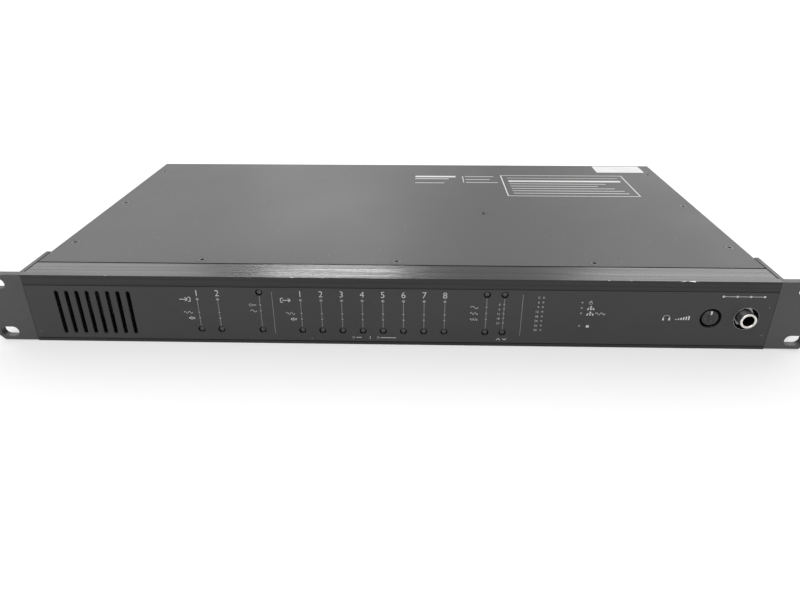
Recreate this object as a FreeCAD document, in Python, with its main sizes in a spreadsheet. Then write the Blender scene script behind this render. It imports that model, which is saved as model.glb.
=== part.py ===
import FreeCAD, Part
import math
import os
import re
import Sketcher

# Rack-mounted audio interface, one rack unit tall, in millimetres.
# X runs along the panel, Y from the front face to the rear, Z up from the underside.
# Everything is built with the front face at Y = 0 and the underside at Z = 0. At the end each
# piece is moved back by half of the overall depth, so that the origin lies under the middle.

SIZES = {
    # front panel and rack ears
    "panel_wide": 482.6,
    "panel_tall": 43.7,
    "rack_hole_inset": 8.75,
    "rack_hole_tall": 31.75,
    "rack_slot_long": 10.8,
    "rack_slot_tall": 6.6,
    "ear_wide": 24.8,
    "ear_thick": 4.5,
    "ear_lift": 0.5,
    "ear_corner": 4.5,
    "wing_thick": 2.5,
    "wing_end": 34.8,
    "ear_screw_y": 14.5,
    "ear_screw_low": 12.0,
    "ear_screw_high": 32.0,
    # chassis sheet metal
    "body_deep": 240.0,
    "sheet": 1.2,
    "gap": 0.3,
    "flange_wide": 14.0,
    "rim_wide": 10.0,
    "rim_tall": 7.3,
    "side_slot_inset": 90.0,
    "side_slot_pitch": 7.0,
    "side_slot_wide": 2.6,
    "side_slot_low": 14.0,
    "side_slot_high": 30.0,
    "cover_lip_tall": 9.3,
    # front bezel, an extrusion with an upper lip and a foot lip
    "bezel_wall": 3.0,
    "lip_thick": 1.4,
    "lip_deep": 17.9,
    "lip_relief": 0.8,
    "seam_gap": 1.4,
    "foot_deep": 12.0,
    "field_low": 1.8,
    "band_tall": 6.3,
    "recess_deep": 0.65,
    "rib_low": 2.4,
    "rib_low_tall": 2.0,
    "rib_drop": 3.8,
    "rib_high_tall": 3.0,
    "overlay_thick": 0.5,
    "overlay_margin": 0.4,
    # front subpanel and the board behind it
    "subpanel_roof": 32.0,
    "subpanel_foot": 24.0,
    "subpanel_side": 22.0,
    "spacer_long": 5.8,
    "front_board_margin": 9.4,
    "front_board_low": 4.0,
    "front_board_drop": 1.6,
    "board_thick": 1.6,
    "spacer_radius": 2.3,
    "spacer_low": 8.0,
    "spacer_drop": 7.0,
    "spacer_left": -91.0,
    "spacer_mid": 40.55,
    "spacer_right": 140.0,
    # vent slots and fan
    "vent_pitch": 6.05,
    "vent_wide": 2.4,
    "vent_low_inset": 3.5,
    "vent_high_inset": 3.7,
    "fan_inset": 39.5,
    "fan_size": 40.0,
    "fan_deep": 20.0,
    "fan_rim": 1.0,
    "fan_screw_inset": 4.0,
    "fan_hub": 9.0,
    "fan_back": 3.0,
    "fan_strut": 3.0,
    "fan_tip_gap": 1.0,
    "fan_blade_chord": 11.0,
    "fan_blade_thick": 1.2,
    "fan_shaft": 1.45,
    # buttons and lamps on the front panel
    "button_low": 9.1,
    "button_high_inset": 3.55,
    "button_cap": 1.5,
    "button_ring": 0.6,
    "button_flange": 2.8,
    "button_flange_thick": 1.0,
    "button_stem": 1.5,
    "button_sunk": 0.7,
    "button_rest": 0.2,
    "button_travel": 0.6,
    "switch_size": 6.0,
    "switch_tall": 4.6,
    "switch_grip": 0.8,
    "channel_pitch": 11.96,
    "input_first": -115.6,
    "output_first": -55.2,
    "level_x": -79.0,
    "mode_x": 52.6,
    "source_x": 62.7,
    "meter_x": 84.9,
    "status_x": 107.2,
    "lamp_big": 0.9,
    "lamp_small": 0.6,
    "lamp_sunk": 0.3,
    "lamp_shoulder": 0.5,
    "lamp_chip": 1.0,
    "lamp_channel": 29.0,
    "lamp_upper": 20.4,
    "lamp_lower": 16.6,
    "lamp_level": 21.8,
    "lamp_level_step": 3.9,
    "lamp_mode": 17.7,
    "lamp_mode_step": 4.0,
    "lamp_source": 15.5,
    "lamp_source_step": 3.05,
    "lamp_meter": 11.1,
    "lamp_meter_step": 3.04,
    "lamp_status": 22.5,
    "lamp_status_step": 3.5,
    "lamp_ready": 14.2,
    # headphone volume knob and jack
    "control_z": 20.15,
    "knob_inset": 34.9,
    "knob_radius": 5.0,
    "knob_long": 10.4,
    "knob_gap": 1.2,
    "knob_travel": 7.0,
    "shaft_radius": 3.0,
    "shaft_flat": 2.2,
    "shaft_grip": 3.4,
    "sleeve_radius": 4.2,
    "sleeve_start": 12.6,
    "sleeve_room": 1.6,
    "pot_size": 14.0,
    "pot_wall": 1.1,
    "run_gap": 0.05,
    "jack_inset": 14.6,
    "jack_bore": 3.2,
    "jack_bushing": 4.75,
    "jack_proud": 3.3,
    "jack_seat": 3.0,
    "jack_gap": 1.5,
    "jack_nut_flats": 11.0,
    "jack_nut_thick": 1.9,
    "jack_size": 14.0,
    "jack_deep": 28.0,
    "jack_inner_bore": 3.6,
    "jack_inner_deep": 26.0,
    # fasteners
    "screw_radius": 1.5,
    "screw_head": 2.6,
    "screw_head_tall": 1.6,
    "screw_slack": 0.1,
    "screw_slot_wide": 1.0,
    "screw_slot_deep": 0.9,
    "cover_screw_long": 7.0,
    "ear_screw_long": 6.0,
    "foot_screw_long": 4.0,
    "bezel_screw_radius": 1.25,
    "bezel_screw_head": 2.1,
    "bezel_screw_deep": 3.5,
    "board_screw_long": 4.0,
    "rear_screw_long": 6.0,
    "front_screw_x": 118.0,
    "front_screw_y": 24.7,
    "side_screw_inset": 7.9,
    "side_screw_front": 51.0,
    "side_screw_mid": 130.5,
    "side_screw_rear_inset": 26.5,
    "post_x": 59.6,
    "post_y": 111.8,
    "post_radius": 3.0,
    "bezel_screw_inset": 12.5,
    "foot_screw_x": 90.0,
    "foot_screw_y": 8.9,
    # main board and power supply
    "board_lift": 8.0,
    "main_left": -105.0,
    "main_side_gap": 10.3,
    "main_front": 45.0,
    "main_rear_gap": 5.6,
    "main_post_inset": 25.5,
    "board_edge": 7.0,
    "supply_side_gap": 7.3,
    "supply_wide": 86.0,
    "supply_front": 50.0,
    "supply_rear_gap": 57.6,
    "transformer_share": 0.52,
    "transformer_wide": 34.0,
    "transformer_deep": 30.0,
    "transformer_tall": 24.0,
    "core_wide": 38.0,
    "core_deep": 14.0,
    "capacitor_radius": 8.0,
    "capacitor_tall": 25.0,
    "capacitor_share": 0.2,
    "capacitor_pitch": 19.0,
    "block_wide": 24.0,
    "block_deep": 11.0,
    "block_tall": 20.0,
    "processor_x": 20.0,
    "processor_y": 120.0,
    "processor_size": 26.0,
    "processor_tall": 2.6,
    "network_x": -60.0,
    "network_inset": 72.0,
    "network_wide": 36.0,
    "network_deep": 48.0,
    "network_tall": 4.0,
    "converter_inset": 47.0,
    "converter_wide": 10.0,
    "converter_deep": 13.0,
    "converter_tall": 2.2,
    "ribbon_x": 100.0,
    "ribbon_wide": 24.0,
    "ribbon_thick": 0.9,
    "ribbon_z": 23.0,
    "ribbon_bend": 7.0,
    "ribbon_plug_y": 60.0,
    "plug_margin": 1.5,
    "plug_deep": 6.4,
    # rear connectors
    "rear_z": 19.0,
    "inlet_inset": 38.5,
    "inlet_wide": 27.0,
    "inlet_tall": 19.8,
    "inlet_wall": 1.5,
    "inlet_deep": 16.0,
    "inlet_proud": 4.0,
    "inlet_base": 2.5,
    "inlet_flange_wide": 50.0,
    "inlet_flange_tall": 22.5,
    "inlet_flange_thick": 2.2,
    "inlet_screw_x": 20.0,
    "blade_x": 7.0,
    "blade_wide": 2.0,
    "blade_tall": 4.0,
    "blade_sunk": 5.0,
    "blade_tab": 8.0,
    "earth_rise": 4.0,
    "switch_inset": 75.5,
    "rocker_wide": 9.0,
    "rocker_radius": 7.4,
    "rocker_mid": 3.4,
    "rocker_tip": 4.4,
    "rocker_back": 1.8,
    "rocker_tilt": 10.0,
    "rocker_pin": 1.3,
    "rocker_pin_long": 1.0,
    "rocker_gap": 0.3,
    "switch_wall": 1.8,
    "switch_deep": 18.0,
    "switch_rim": 1.5,
    "switch_tab_long": 8.0,
    "switch_tab_rise": 6.0,
    "ground_x": -118.0,
    "ethernet_x": -94.0,
    "ethernet_pitch": 20.0,
    "ethernet_wide": 16.0,
    "ethernet_tall": 13.4,
    "ethernet_deep": 21.2,
    "ethernet_proud": 0.6,
    "ethernet_mouth_wide": 11.8,
    "ethernet_mouth_tall": 8.4,
    "ethernet_mouth_deep": 13.0,
    "ethernet_mouth_lift": 3.4,
    "ethernet_latch_wide": 6.0,
    "ethernet_latch_tall": 2.0,
    "header_x": -22.0,
    "header_pitch": 42.0,
    "header_wide": 25.4,
    "header_tall": 9.2,
    "header_deep": 13.6,
    "header_proud": 1.0,
    "header_wall": 1.0,
    "header_mouth": 10.6,
    "pin_pitch": 3.81,
    "pin_size": 1.0,
    "pin_sunk": 5.0,
    "cutout_gap": 0.3,
    "rear_screw_x": 110.0,
    "rear_screw_side_low": 13.0,
    "rear_screw_side_high": 28.0,
    "lip_screw_inset": 26.5,
    "lead_radius": 1.2,
    "lead_loop": 20.0,
    "lead_straight": 13.0,
}

# Counts of what repeats.
VENTS = 8
SIDE_SLOTS = 12
INPUTS = 2
OUTPUTS = 8
SOURCE_LAMPS = 5
MODE_LAMPS = 3
LEVEL_LAMPS = 2
METER_LAMPS = 8
STATUS_LAMPS = 3
FAN_BLADES = 7
FAN_BLADE_TILT = 40
SUPPLY_CAPACITORS = 3
ETHERNET_JACKS = 2
HEADERS = 5
HEADER_PINS = 6
RECESS_SHARE = 0.6  # share of a screw head's radius that its cross recess reaches
LEAD_TRIM = 0.45  # share of the shorter run that each of a lead's bends takes up

# Planes and heights that several pieces share.
HALF = "(panel_wide / 2 - ear_wide)"
INNER = f"({HALF} - sheet)"
SUB_HALF = f"({HALF} - sheet - gap)"
DECK = "(panel_tall - lip_thick)"
UNDER = "(panel_tall - lip_thick - sheet)"
MIDDLE = "(panel_tall / 2)"
FIELD_HIGH = "(panel_tall - band_tall)"
RIB_HIGH = f"({UNDER} - rib_drop)"
COVER_TOP = "(panel_tall - lip_thick + sheet)"
REAR = "(body_deep - sheet)"
REAR_INSIDE = "(body_deep - 2 * sheet)"
SUB_FRONT = "(bezel_wall + 2 * button_rest + button_flange_thick + button_travel)"
SUB_BACK = f"({SUB_FRONT} + sheet)"
BOARD_FRONT = f"({SUB_BACK} + spacer_long)"
BOARD_BACK = f"({BOARD_FRONT} + board_thick)"
FRONT_BOARD_HIGH = f"({UNDER} - front_board_drop)"
BOARD_TOP = "(board_lift + board_thick)"
MAIN_REAR = "(body_deep - 2 * sheet - main_rear_gap)"
SINK = "(screw_head - screw_radius)"
SCREW_HOLE = "(screw_radius + screw_slack)"
BEZEL_SCREW_HOLE = "(bezel_screw_radius + screw_slack)"
LAMP_BACK = f"({BOARD_FRONT} - lamp_chip - gap)"
SWITCH_FRONT = f"({BOARD_FRONT} - switch_tall)"
BUTTON_HIGH = f"({FIELD_HIGH} - button_high_inset)"
VENT_LOW = "(field_low + vent_low_inset)"
VENT_HIGH = f"({FIELD_HIGH} - vent_high_inset)"
FAN_X = f"(fan_inset - {HALF})"
FAN_Z = "(sheet + gap + fan_size / 2)"
FAN_BORE = "(fan_size / 2 - fan_rim)"
FAN_SCREW = "(fan_size / 2 - fan_screw_inset)"
FAN_REACH = "(fan_size / 2 - fan_rim - fan_tip_gap)"
KNOB_X = f"({HALF} - knob_inset)"
JACK_X = f"({HALF} - jack_inset)"
SHAFT_END = "(sleeve_start + knob_travel + shaft_grip)"
SLEEVE_END = "(sleeve_start + knob_travel + shaft_grip + sleeve_room)"
MAIN_RIGHT = f"({INNER} - main_side_gap)"
SUPPLY_LEFT = f"(supply_side_gap - {INNER})"
SUPPLY_RIGHT = f"({SUPPLY_LEFT} + supply_wide)"
SUPPLY_MID = f"({SUPPLY_LEFT} + supply_wide / 2)"
SUPPLY_REAR = f"({REAR_INSIDE} - supply_rear_gap)"
SUPPLY_DEEP = f"({SUPPLY_REAR} - supply_front)"
BLOCK_Y = f"({SUPPLY_REAR} - board_edge - block_deep / 2)"
INLET_X = f"(inlet_inset - {HALF})"
SWITCH_X = f"(switch_inset - {HALF})"
PIVOT = "(body_deep - sheet + switch_rim - rocker_mid)"
SWITCH_HALF_WIDE = "(rocker_wide / 2 + rocker_gap + switch_wall)"
SWITCH_HALF_TALL = "(rocker_radius + rocker_gap + switch_wall)"
HALF_DEPTH = "((body_deep - sheet + inlet_proud - jack_proud) / 2)"

doc = FreeCAD.newDocument("rack_audio_interface")
dims = doc.addObject("Spreadsheet::Sheet", "dims")
for row, (alias, size) in enumerate(SIZES.items(), 1):
    dims.set(f"A{row}", alias)
    dims.set(f"B{row}", str(size))
    dims.setAlias(f"B{row}", alias)
doc.recompute()

NODES = []


# ---- expressions -----------------------------------------------------------------------------

def cells(expression):
    """Turn each size's name in an expression into its cell of the sheet."""
    return re.sub(r"[a-z_]+", lambda word: f"dims.{word[0]}" if word[0] in SIZES else word[0], expression)


def value(expression):
    """The present value of an expression, for a sketch's first position."""
    return float(dims.evalExpression(cells(expression)))


def bind(thing, prop, expression):
    thing.setExpression(prop, cells(expression))


def between(low, high):
    return f"(({low}) + ({high})) / 2"


# ---- Part primitives and booleans ------------------------------------------------------------

def about_x(degrees):
    return FreeCAD.Rotation(FreeCAD.Vector(1, 0, 0), degrees)


def about_y(degrees):
    return FreeCAD.Rotation(FreeCAD.Vector(0, 1, 0), degrees)


# The turn that lays a primitive's own Z axis along each axis.
TURN = {"x": about_y(90), "y": about_x(-90), "z": FreeCAD.Rotation()}


def box(x, y, z):
    """A box between three pairs of expressions."""
    block = doc.addObject("Part::Box", "box")
    for axis, side, (low, high) in (("x", "Length", x), ("y", "Width", y), ("z", "Height", z)):
        bind(block, side, f"({high}) - ({low})")
        bind(block, f"Placement.Base.{axis}", low)
    return block


def block_at(x, z, wide, tall, low, high):
    """A box centred on x and z, from low to high along Y."""
    return box((f"{x} - ({wide}) / 2", f"{x} + ({wide}) / 2"), (low, high),
               (f"{z} - ({tall}) / 2", f"{z} + ({tall}) / 2"))


def rod(axis, centre, span, radius):
    """A cylinder along an axis; centre gives the other two coordinates in X, Y, Z order."""
    cylinder = doc.addObject("Part::Cylinder", "rod")
    cylinder.Placement = FreeCAD.Placement(FreeCAD.Vector(), TURN[axis])
    places = list(centre)
    places.insert("xyz".index(axis), span[0])
    for name, place in zip("xyz", places):
        bind(cylinder, f"Placement.Base.{name}", place)
    bind(cylinder, "Height", f"({span[1]}) - ({span[0]})")
    bind(cylinder, "Radius", radius)
    return cylinder


def join(pieces):
    whole = doc.addObject("Part::MultiFuse", "join")
    whole.Shapes = pieces
    return whole


def group(pieces):
    whole = doc.addObject("Part::Compound", "group")
    whole.Links = pieces
    return whole


def cut(base, tools):
    result = doc.addObject("Part::Cut", "cut")
    result.Base = base
    result.Tool = tools[0] if len(tools) == 1 else join(tools)
    return result


def copies(master, places, turn=FreeCAD.Rotation()):
    """Links to one master piece, each turned and set at its x, y and z expressions."""
    held = group([master])
    links = []
    for place in places:
        link = doc.addObject("App::Link", "copy")
        link.LinkedObject = held
        link.LinkPlacement = FreeCAD.Placement(FreeCAD.Vector(), turn)
        for name, coordinate in zip("xyz", place):
            bind(link, f"LinkPlacement.Base.{name}", coordinate)
        links.append(link)
    return links


def node(label, piece, x="0", y="0", z="0"):
    """Name a finished sub-part and move it back by half of the overall depth."""
    piece.Label = label
    bind(piece, "Placement.Base.x", x)
    bind(piece, "Placement.Base.y", f"{y} - {HALF_DEPTH}")
    bind(piece, "Placement.Base.z", z)
    NODES.append(piece)
    return piece


# ---- PartDesign bodies -----------------------------------------------------------------------

# For each plane, the sign of its normal along the axis that it faces.
NORMAL = {"XY_Plane": 1, "XZ_Plane": -1, "YZ_Plane": 1}


def new_body():
    return doc.addObject("PartDesign::Body", "body")


def rect(x_low, x_high, y_low, y_high):
    return [(x_low, y_low), (x_high, y_low), (x_high, y_high), (x_low, y_high)]


def place_sketch(body, plane, offset):
    sketch = body.newObject("Sketcher::SketchObject", "sketch")
    origin_plane = next(part for part in body.Origin.OriginFeatures if part.Role == plane)
    sketch.AttachmentSupport = [(origin_plane, "")]
    sketch.MapMode = "FlatFace"
    bind(sketch, "AttachmentOffset.Base.z", f"{NORMAL[plane]} * ({offset})")
    return sketch


def fix(sketch, places):
    """Hold points, radii and angles of a sketch at their expressions."""
    for kind, references, expression in places:
        index = sketch.addConstraint(Sketcher.Constraint(kind, *references, value(expression)))
        sketch.setExpression(f"Constraints[{index}]", cells(expression))


def pin(geometry, vertex, x, y):
    """The two constraints that hold one vertex of a sketch at x and y."""
    return [("DistanceX", (-1, 1, geometry, vertex), x), ("DistanceY", (-1, 1, geometry, vertex), y)]


def draw_polygon(sketch, corners):
    spots = [FreeCAD.Vector(value(x), value(y), 0) for x, y in corners]
    sides = [Part.LineSegment(spot, spots[(k + 1) % len(spots)]) for k, spot in enumerate(spots)]
    lines = list(sketch.addGeometry(sides, False))
    closing = [Sketcher.Constraint("Coincident", line, 2, lines[(k + 1) % len(lines)], 1)
               for k, line in enumerate(lines)]
    sketch.addConstraint(closing)
    for line, (x, y) in zip(lines, corners):
        fix(sketch, pin(line, 1, x, y))


def draw_circle(sketch, x, y, radius):
    spot = FreeCAD.Vector(value(x), value(y), 0)
    ring = sketch.addGeometry(Part.Circle(spot, FreeCAD.Vector(0, 0, 1), value(radius)), False)
    fix(sketch, pin(ring, 3, x, y) + [("Radius", (ring,), radius)])


def draw_slot(sketch, start, end, radius):
    """A round-ended slot between two end centres, along the sketch's X or Y."""
    first = FreeCAD.Vector(value(start[0]), value(start[1]), 0)
    last = FreeCAD.Vector(value(end[0]), value(end[1]), 0)
    heading = math.atan2(last.y - first.y, last.x - first.x)
    side = FreeCAD.Vector(-math.sin(heading), math.cos(heading), 0) * value(radius)
    up = FreeCAD.Vector(0, 0, 1)
    quarter = math.pi / 2
    near = Part.ArcOfCircle(Part.Circle(first, up, value(radius)), heading + quarter, heading + 3 * quarter)
    far = Part.ArcOfCircle(Part.Circle(last, up, value(radius)), heading - quarter, heading + quarter)
    lower = Part.LineSegment(first - side, last - side)
    upper = Part.LineSegment(last + side, first + side)
    near_id, far_id, lower_id, upper_id = sketch.addGeometry([near, far, lower, upper], False)
    sketch.addConstraint([
        Sketcher.Constraint("Tangent", near_id, 2, lower_id, 1),
        Sketcher.Constraint("Tangent", lower_id, 2, far_id, 1),
        Sketcher.Constraint("Tangent", far_id, 2, upper_id, 1),
        Sketcher.Constraint("Tangent", upper_id, 2, near_id, 1),
        Sketcher.Constraint("Equal", near_id, far_id),
    ])
    fix(sketch, pin(near_id, 3, *start) + pin(far_id, 3, *end) + [("Radius", (near_id,), radius)])


def draw(sketch, polygons=(), circles=(), slots=()):
    for corners in polygons:
        draw_polygon(sketch, corners)
    for circle in circles:
        draw_circle(sketch, *circle)
    for slot in slots:
        draw_slot(sketch, *slot)


def pad(body, plane, span, **shapes):
    """Add material between two offsets along a plane's axis."""
    low, high = span
    sketch = place_sketch(body, plane, low)
    draw(sketch, **shapes)
    feature = body.newObject("PartDesign::Pad", "pad")
    feature.Profile = sketch
    feature.Reversed = NORMAL[plane] < 0
    bind(feature, "Length", f"({high}) - ({low})")
    return feature


def pocket(body, plane, span, **shapes):
    """Cut from the first offset to the second along a plane's axis, in either direction."""
    low, high = span
    sketch = place_sketch(body, plane, low)
    draw(sketch, **shapes)
    forward = value(high) > value(low)
    feature = body.newObject("PartDesign::Pocket", "pocket")
    feature.Profile = sketch
    feature.Type = 0
    feature.Reversed = forward == (NORMAL[plane] > 0)
    bind(feature, "Length", f"abs(({high}) - ({low}))")
    return feature


def countersink(body, plane, surface, inward, spots):
    """Cone-shaped seats for flush screw heads, cut from a surface."""
    seat = pocket(body, plane, (surface, f"{surface} + ({inward}) * {SINK}"),
                  circles=[(x, y, "screw_head + screw_slack") for x, y in spots])
    seat.TaperAngle = -45
    return seat


def repeat(body, feature, axis, count, pitch):
    """Repeat a feature along an origin axis of the body."""
    row_of = body.newObject("PartDesign::LinearPattern", "row")
    row_of.Originals = [feature]
    line = next(part for part in body.Origin.OriginFeatures if part.Role == axis)
    row_of.Direction = (line, [""])
    row_of.Occurrences = count
    bind(row_of, "Length", f"{count - 1} * ({pitch})")
    body.Tip = row_of
    return row_of


# ---- places on the front panel, as X and Z expressions ----------------------------------------

def column(first, index):
    return f"{first} + {index} * channel_pitch"


INPUT_COLUMNS = [column("input_first", k) for k in range(INPUTS)]
OUTPUT_COLUMNS = [column("output_first", k) for k in range(OUTPUTS)]

BUTTONS = {
    "input_1_button": (INPUT_COLUMNS[0], "button_low"),
    "input_2_button": (INPUT_COLUMNS[1], "button_low"),
    "level_button_low": ("level_x", "button_low"),
    "level_button_high": ("level_x", BUTTON_HIGH),
    "mode_button_low": ("mode_x", "button_low"),
    "mode_button_high": ("mode_x", BUTTON_HIGH),
    "source_button_low": ("source_x", "button_low"),
    "source_button_high": ("source_x", BUTTON_HIGH),
}
BUTTONS.update({f"output_{k + 1}_button": (x, "button_low") for k, x in enumerate(OUTPUT_COLUMNS)})


def lamp_stack(x, first, step, count):
    return [(x, f"{first} + {k} * {step}") for k in range(count)]


BIG_LAMPS = [(x, "lamp_channel") for x in INPUT_COLUMNS + OUTPUT_COLUMNS]
SMALL_LAMPS = [(x, z) for x in INPUT_COLUMNS + OUTPUT_COLUMNS for z in ("lamp_upper", "lamp_lower")]
SMALL_LAMPS += lamp_stack("level_x", "lamp_level", "lamp_level_step", LEVEL_LAMPS)
SMALL_LAMPS += lamp_stack("mode_x", "lamp_mode", "lamp_mode_step", MODE_LAMPS)
SMALL_LAMPS += lamp_stack("source_x", "lamp_source", "lamp_source_step", SOURCE_LAMPS)
SMALL_LAMPS += lamp_stack("meter_x", "lamp_meter", "lamp_meter_step", METER_LAMPS)
SMALL_LAMPS += lamp_stack("status_x", "lamp_status", "lamp_status_step", STATUS_LAMPS)
SMALL_LAMPS.append(("status_x", "lamp_ready"))

VENT_FIRST = f"{FAN_X} - {(VENTS - 1) / 2} * vent_pitch"
SPACERS = [(x, z) for x in ("spacer_left", "spacer_mid", "spacer_right")
           for z in ("spacer_low", f"{FRONT_BOARD_HIGH} - spacer_drop")]
FAN_SCREWS = [(f"{FAN_X} {across} {FAN_SCREW}", f"{FAN_Z} {up} {FAN_SCREW}")
              for across in "+-" for up in "+-"]
BEZEL_SCREWS = [(f"{k / 3} * ({HALF} - bezel_screw_inset)", f"{RIB_HIGH} + rib_high_tall / 2")
                for k in (-3, -2, -1, 1, 2, 3)]
FOOT_SCREWS = [(f"{k} * foot_screw_x", "foot_screw_y") for k in (-1, 0, 1, 2)]
FRONT_COVER_SCREWS = [(f"{k} * front_screw_x", "front_screw_y") for k in (-1, 0, 1)]
SIDE_COVER_SCREWS = [(f"{side} ({HALF} - side_screw_inset)", y) for side in "+-"
                     for y in ("side_screw_front", "side_screw_mid", "body_deep - side_screw_rear_inset")]
EAR_SCREWS = [("ear_screw_y", "ear_screw_low"), ("ear_screw_y", "ear_screw_high")]
LIP_SCREWS = [(f"{k} * ({HALF} - lip_screw_inset)", f"{DECK} - cover_lip_tall / 2")
              for k in (-1, 1, -1 / 3, 1 / 3)]
RIM_SCREWS = [(f"{k} * rear_screw_x", "sheet + rim_tall / 2") for k in (-1, 0, 1)]
SIDE_RIM_SCREWS = [(f"{side} ({INNER} - rim_wide / 2)", z) for side in "+-"
                   for z in ("rear_screw_side_low", "rear_screw_side_high")]
INLET_SCREWS = [(f"{INLET_X} {side} inlet_screw_x", "rear_z") for side in "+-"]
HEADER_COLUMNS = [f"header_x + {k} * header_pitch" for k in range(HEADERS)]
ETHERNET_COLUMNS = [f"ethernet_x + {k} * ethernet_pitch" for k in range(ETHERNET_JACKS)]
MAIN_POSTS = [("main_left + board_edge", "main_front + board_edge"),
              (f"{MAIN_RIGHT} - board_edge", "main_front + board_edge"),
              ("post_x", "main_front + board_edge"),
              ("main_left + board_edge", f"{MAIN_REAR} - main_post_inset"),
              (f"{MAIN_RIGHT} - board_edge", f"{MAIN_REAR} - main_post_inset")]
SUPPLY_POSTS = [(x, y) for x in (f"{SUPPLY_LEFT} + board_edge", f"{SUPPLY_RIGHT} - board_edge")
                for y in ("supply_front + board_edge", f"{SUPPLY_REAR} - board_edge")]


def front_openings(body, span, extra):
    """Vent slots, button holes and control holes through a front layer."""
    vent = pocket(body, "XZ_Plane", span, slots=[
        ((VENT_FIRST, f"{VENT_LOW} + vent_wide / 2"), (VENT_FIRST, f"{VENT_HIGH} - vent_wide / 2"),
         f"vent_wide / 2 + {extra}")])
    repeat(body, vent, "X_Axis", VENTS, "vent_pitch")
    pocket(body, "XZ_Plane", span, circles=[(x, z, "button_cap + button_ring") for x, z in BUTTONS.values()])
    pocket(body, "XZ_Plane", span, circles=[(KNOB_X, "control_z", "knob_radius + knob_gap"),
                                            (JACK_X, "control_z", "jack_nut_flats / 2 + jack_gap")])


def lamp_holes(body, span):
    """Holes that the light pipes pass through, with running clearance."""
    pocket(body, "XZ_Plane", span, circles=[(x, z, "lamp_big + run_gap") for x, z in BIG_LAMPS])
    pocket(body, "XZ_Plane", span, circles=[(x, z, "lamp_small + run_gap") for x, z in SMALL_LAMPS])


# ---- sheet metal and panels --------------------------------------------------------------------

def chassis_pan():
    """Folded pan: floor, side walls, inward top flanges and a rear rim."""
    body = new_body()
    flange = f"({HALF} - flange_wide)"
    pad(body, "XZ_Plane", (SUB_FRONT, REAR_INSIDE), polygons=[[
        (f"-{HALF}", "0"), (HALF, "0"), (HALF, DECK), (flange, DECK), (flange, UNDER), (INNER, UNDER),
        (INNER, "sheet"), (f"-{INNER}", "sheet"), (f"-{INNER}", UNDER), (f"-{flange}", UNDER),
        (f"-{flange}", DECK), (f"-{HALF}", DECK)]])
    rim = f"({INNER} - rim_wide)"
    pad(body, "XZ_Plane", (f"{REAR_INSIDE} - sheet", REAR_INSIDE), polygons=[[
        (f"-{INNER}", "sheet"), (INNER, "sheet"), (INNER, UNDER), (rim, UNDER), (rim, "sheet + rim_tall"),
        (f"-{rim}", "sheet + rim_tall"), (f"-{rim}", UNDER), (f"-{INNER}", UNDER)]])
    pocket(body, "XY_Plane", ("0", "sheet"), polygons=[
        rect(f"-{HALF}", HALF, SUB_FRONT, "foot_deep + gap")])
    pocket(body, "XY_Plane", (DECK, UNDER), polygons=[
        rect(f"{side} {flange}", f"{side} {HALF}", SUB_FRONT, f"{SUB_BACK} + gap") for side in "+-"])
    first = "body_deep - side_slot_inset"
    slot = pocket(body, "YZ_Plane", (f"-{HALF}", HALF), slots=[
        ((first, "side_slot_low"), (first, "side_slot_high"), "side_slot_wide / 2")])
    repeat(body, slot, "Y_Axis", SIDE_SLOTS, "side_slot_pitch")
    pocket(body, "YZ_Plane", (f"-{HALF}", HALF), circles=[(y, z, SCREW_HOLE) for y, z in EAR_SCREWS])
    pocket(body, "XY_Plane", (DECK, UNDER), circles=[(x, y, SCREW_HOLE) for x, y in SIDE_COVER_SCREWS])
    pocket(body, "XZ_Plane", (f"{REAR_INSIDE} - sheet", REAR_INSIDE), circles=[
        (x, z, SCREW_HOLE) for x, z in RIM_SCREWS + SIDE_RIM_SCREWS])
    return node("chassis_pan", body)


def top_cover():
    """Flat cover plate with a lip folded down over the rear panel."""
    body = new_body()
    seam = "lip_deep + seam_gap"
    edge = f"({HALF} - gap)"
    pad(body, "XY_Plane", (DECK, COVER_TOP), polygons=[rect(f"-{edge}", edge, seam, "body_deep")])
    pad(body, "XZ_Plane", (REAR, "body_deep"), polygons=[
        rect(f"-{edge}", edge, f"{DECK} - cover_lip_tall", DECK)])
    spots = FRONT_COVER_SCREWS + SIDE_COVER_SCREWS + [("post_x", "post_y")]
    pocket(body, "XY_Plane", (COVER_TOP, DECK), circles=[(x, y, SCREW_HOLE) for x, y in spots])
    countersink(body, "XY_Plane", COVER_TOP, "-1", spots)
    pocket(body, "XZ_Plane", (REAR, "body_deep"), circles=[(x, z, SCREW_HOLE) for x, z in LIP_SCREWS])
    return node("top_cover", body)


def rear_panel():
    """Flat rear plate with the connector cut-outs."""
    body = new_body()
    span = (REAR_INSIDE, REAR)
    pad(body, "XZ_Plane", span, polygons=[rect(f"-{HALF} + gap", f"{HALF} - gap", "gap", f"{DECK} - gap")])

    def cutout(x, low, high, wide):
        half = f"(({wide}) / 2 + cutout_gap)"
        return rect(f"{x} - {half}", f"{x} + {half}", f"{low} - cutout_gap", f"{high} + cutout_gap")

    openings = [cutout(INLET_X, "rear_z - inlet_tall / 2", "rear_z + inlet_tall / 2", "inlet_wide")]
    openings.append(cutout(SWITCH_X, f"rear_z - {SWITCH_HALF_TALL}", f"rear_z + {SWITCH_HALF_TALL}",
                           f"2 * {SWITCH_HALF_WIDE}"))
    openings += [cutout(x, BOARD_TOP, f"{BOARD_TOP} + ethernet_tall", "ethernet_wide")
                 for x in ETHERNET_COLUMNS]
    openings += [cutout(x, BOARD_TOP, f"{BOARD_TOP} + header_tall", "header_wide") for x in HEADER_COLUMNS]
    pocket(body, "XZ_Plane", span, polygons=openings)
    spots = RIM_SCREWS + SIDE_RIM_SCREWS + LIP_SCREWS + INLET_SCREWS + [("ground_x", "rear_z")]
    pocket(body, "XZ_Plane", span, circles=[(x, z, SCREW_HOLE) for x, z in spots])
    return node("rear_panel", body)


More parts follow.
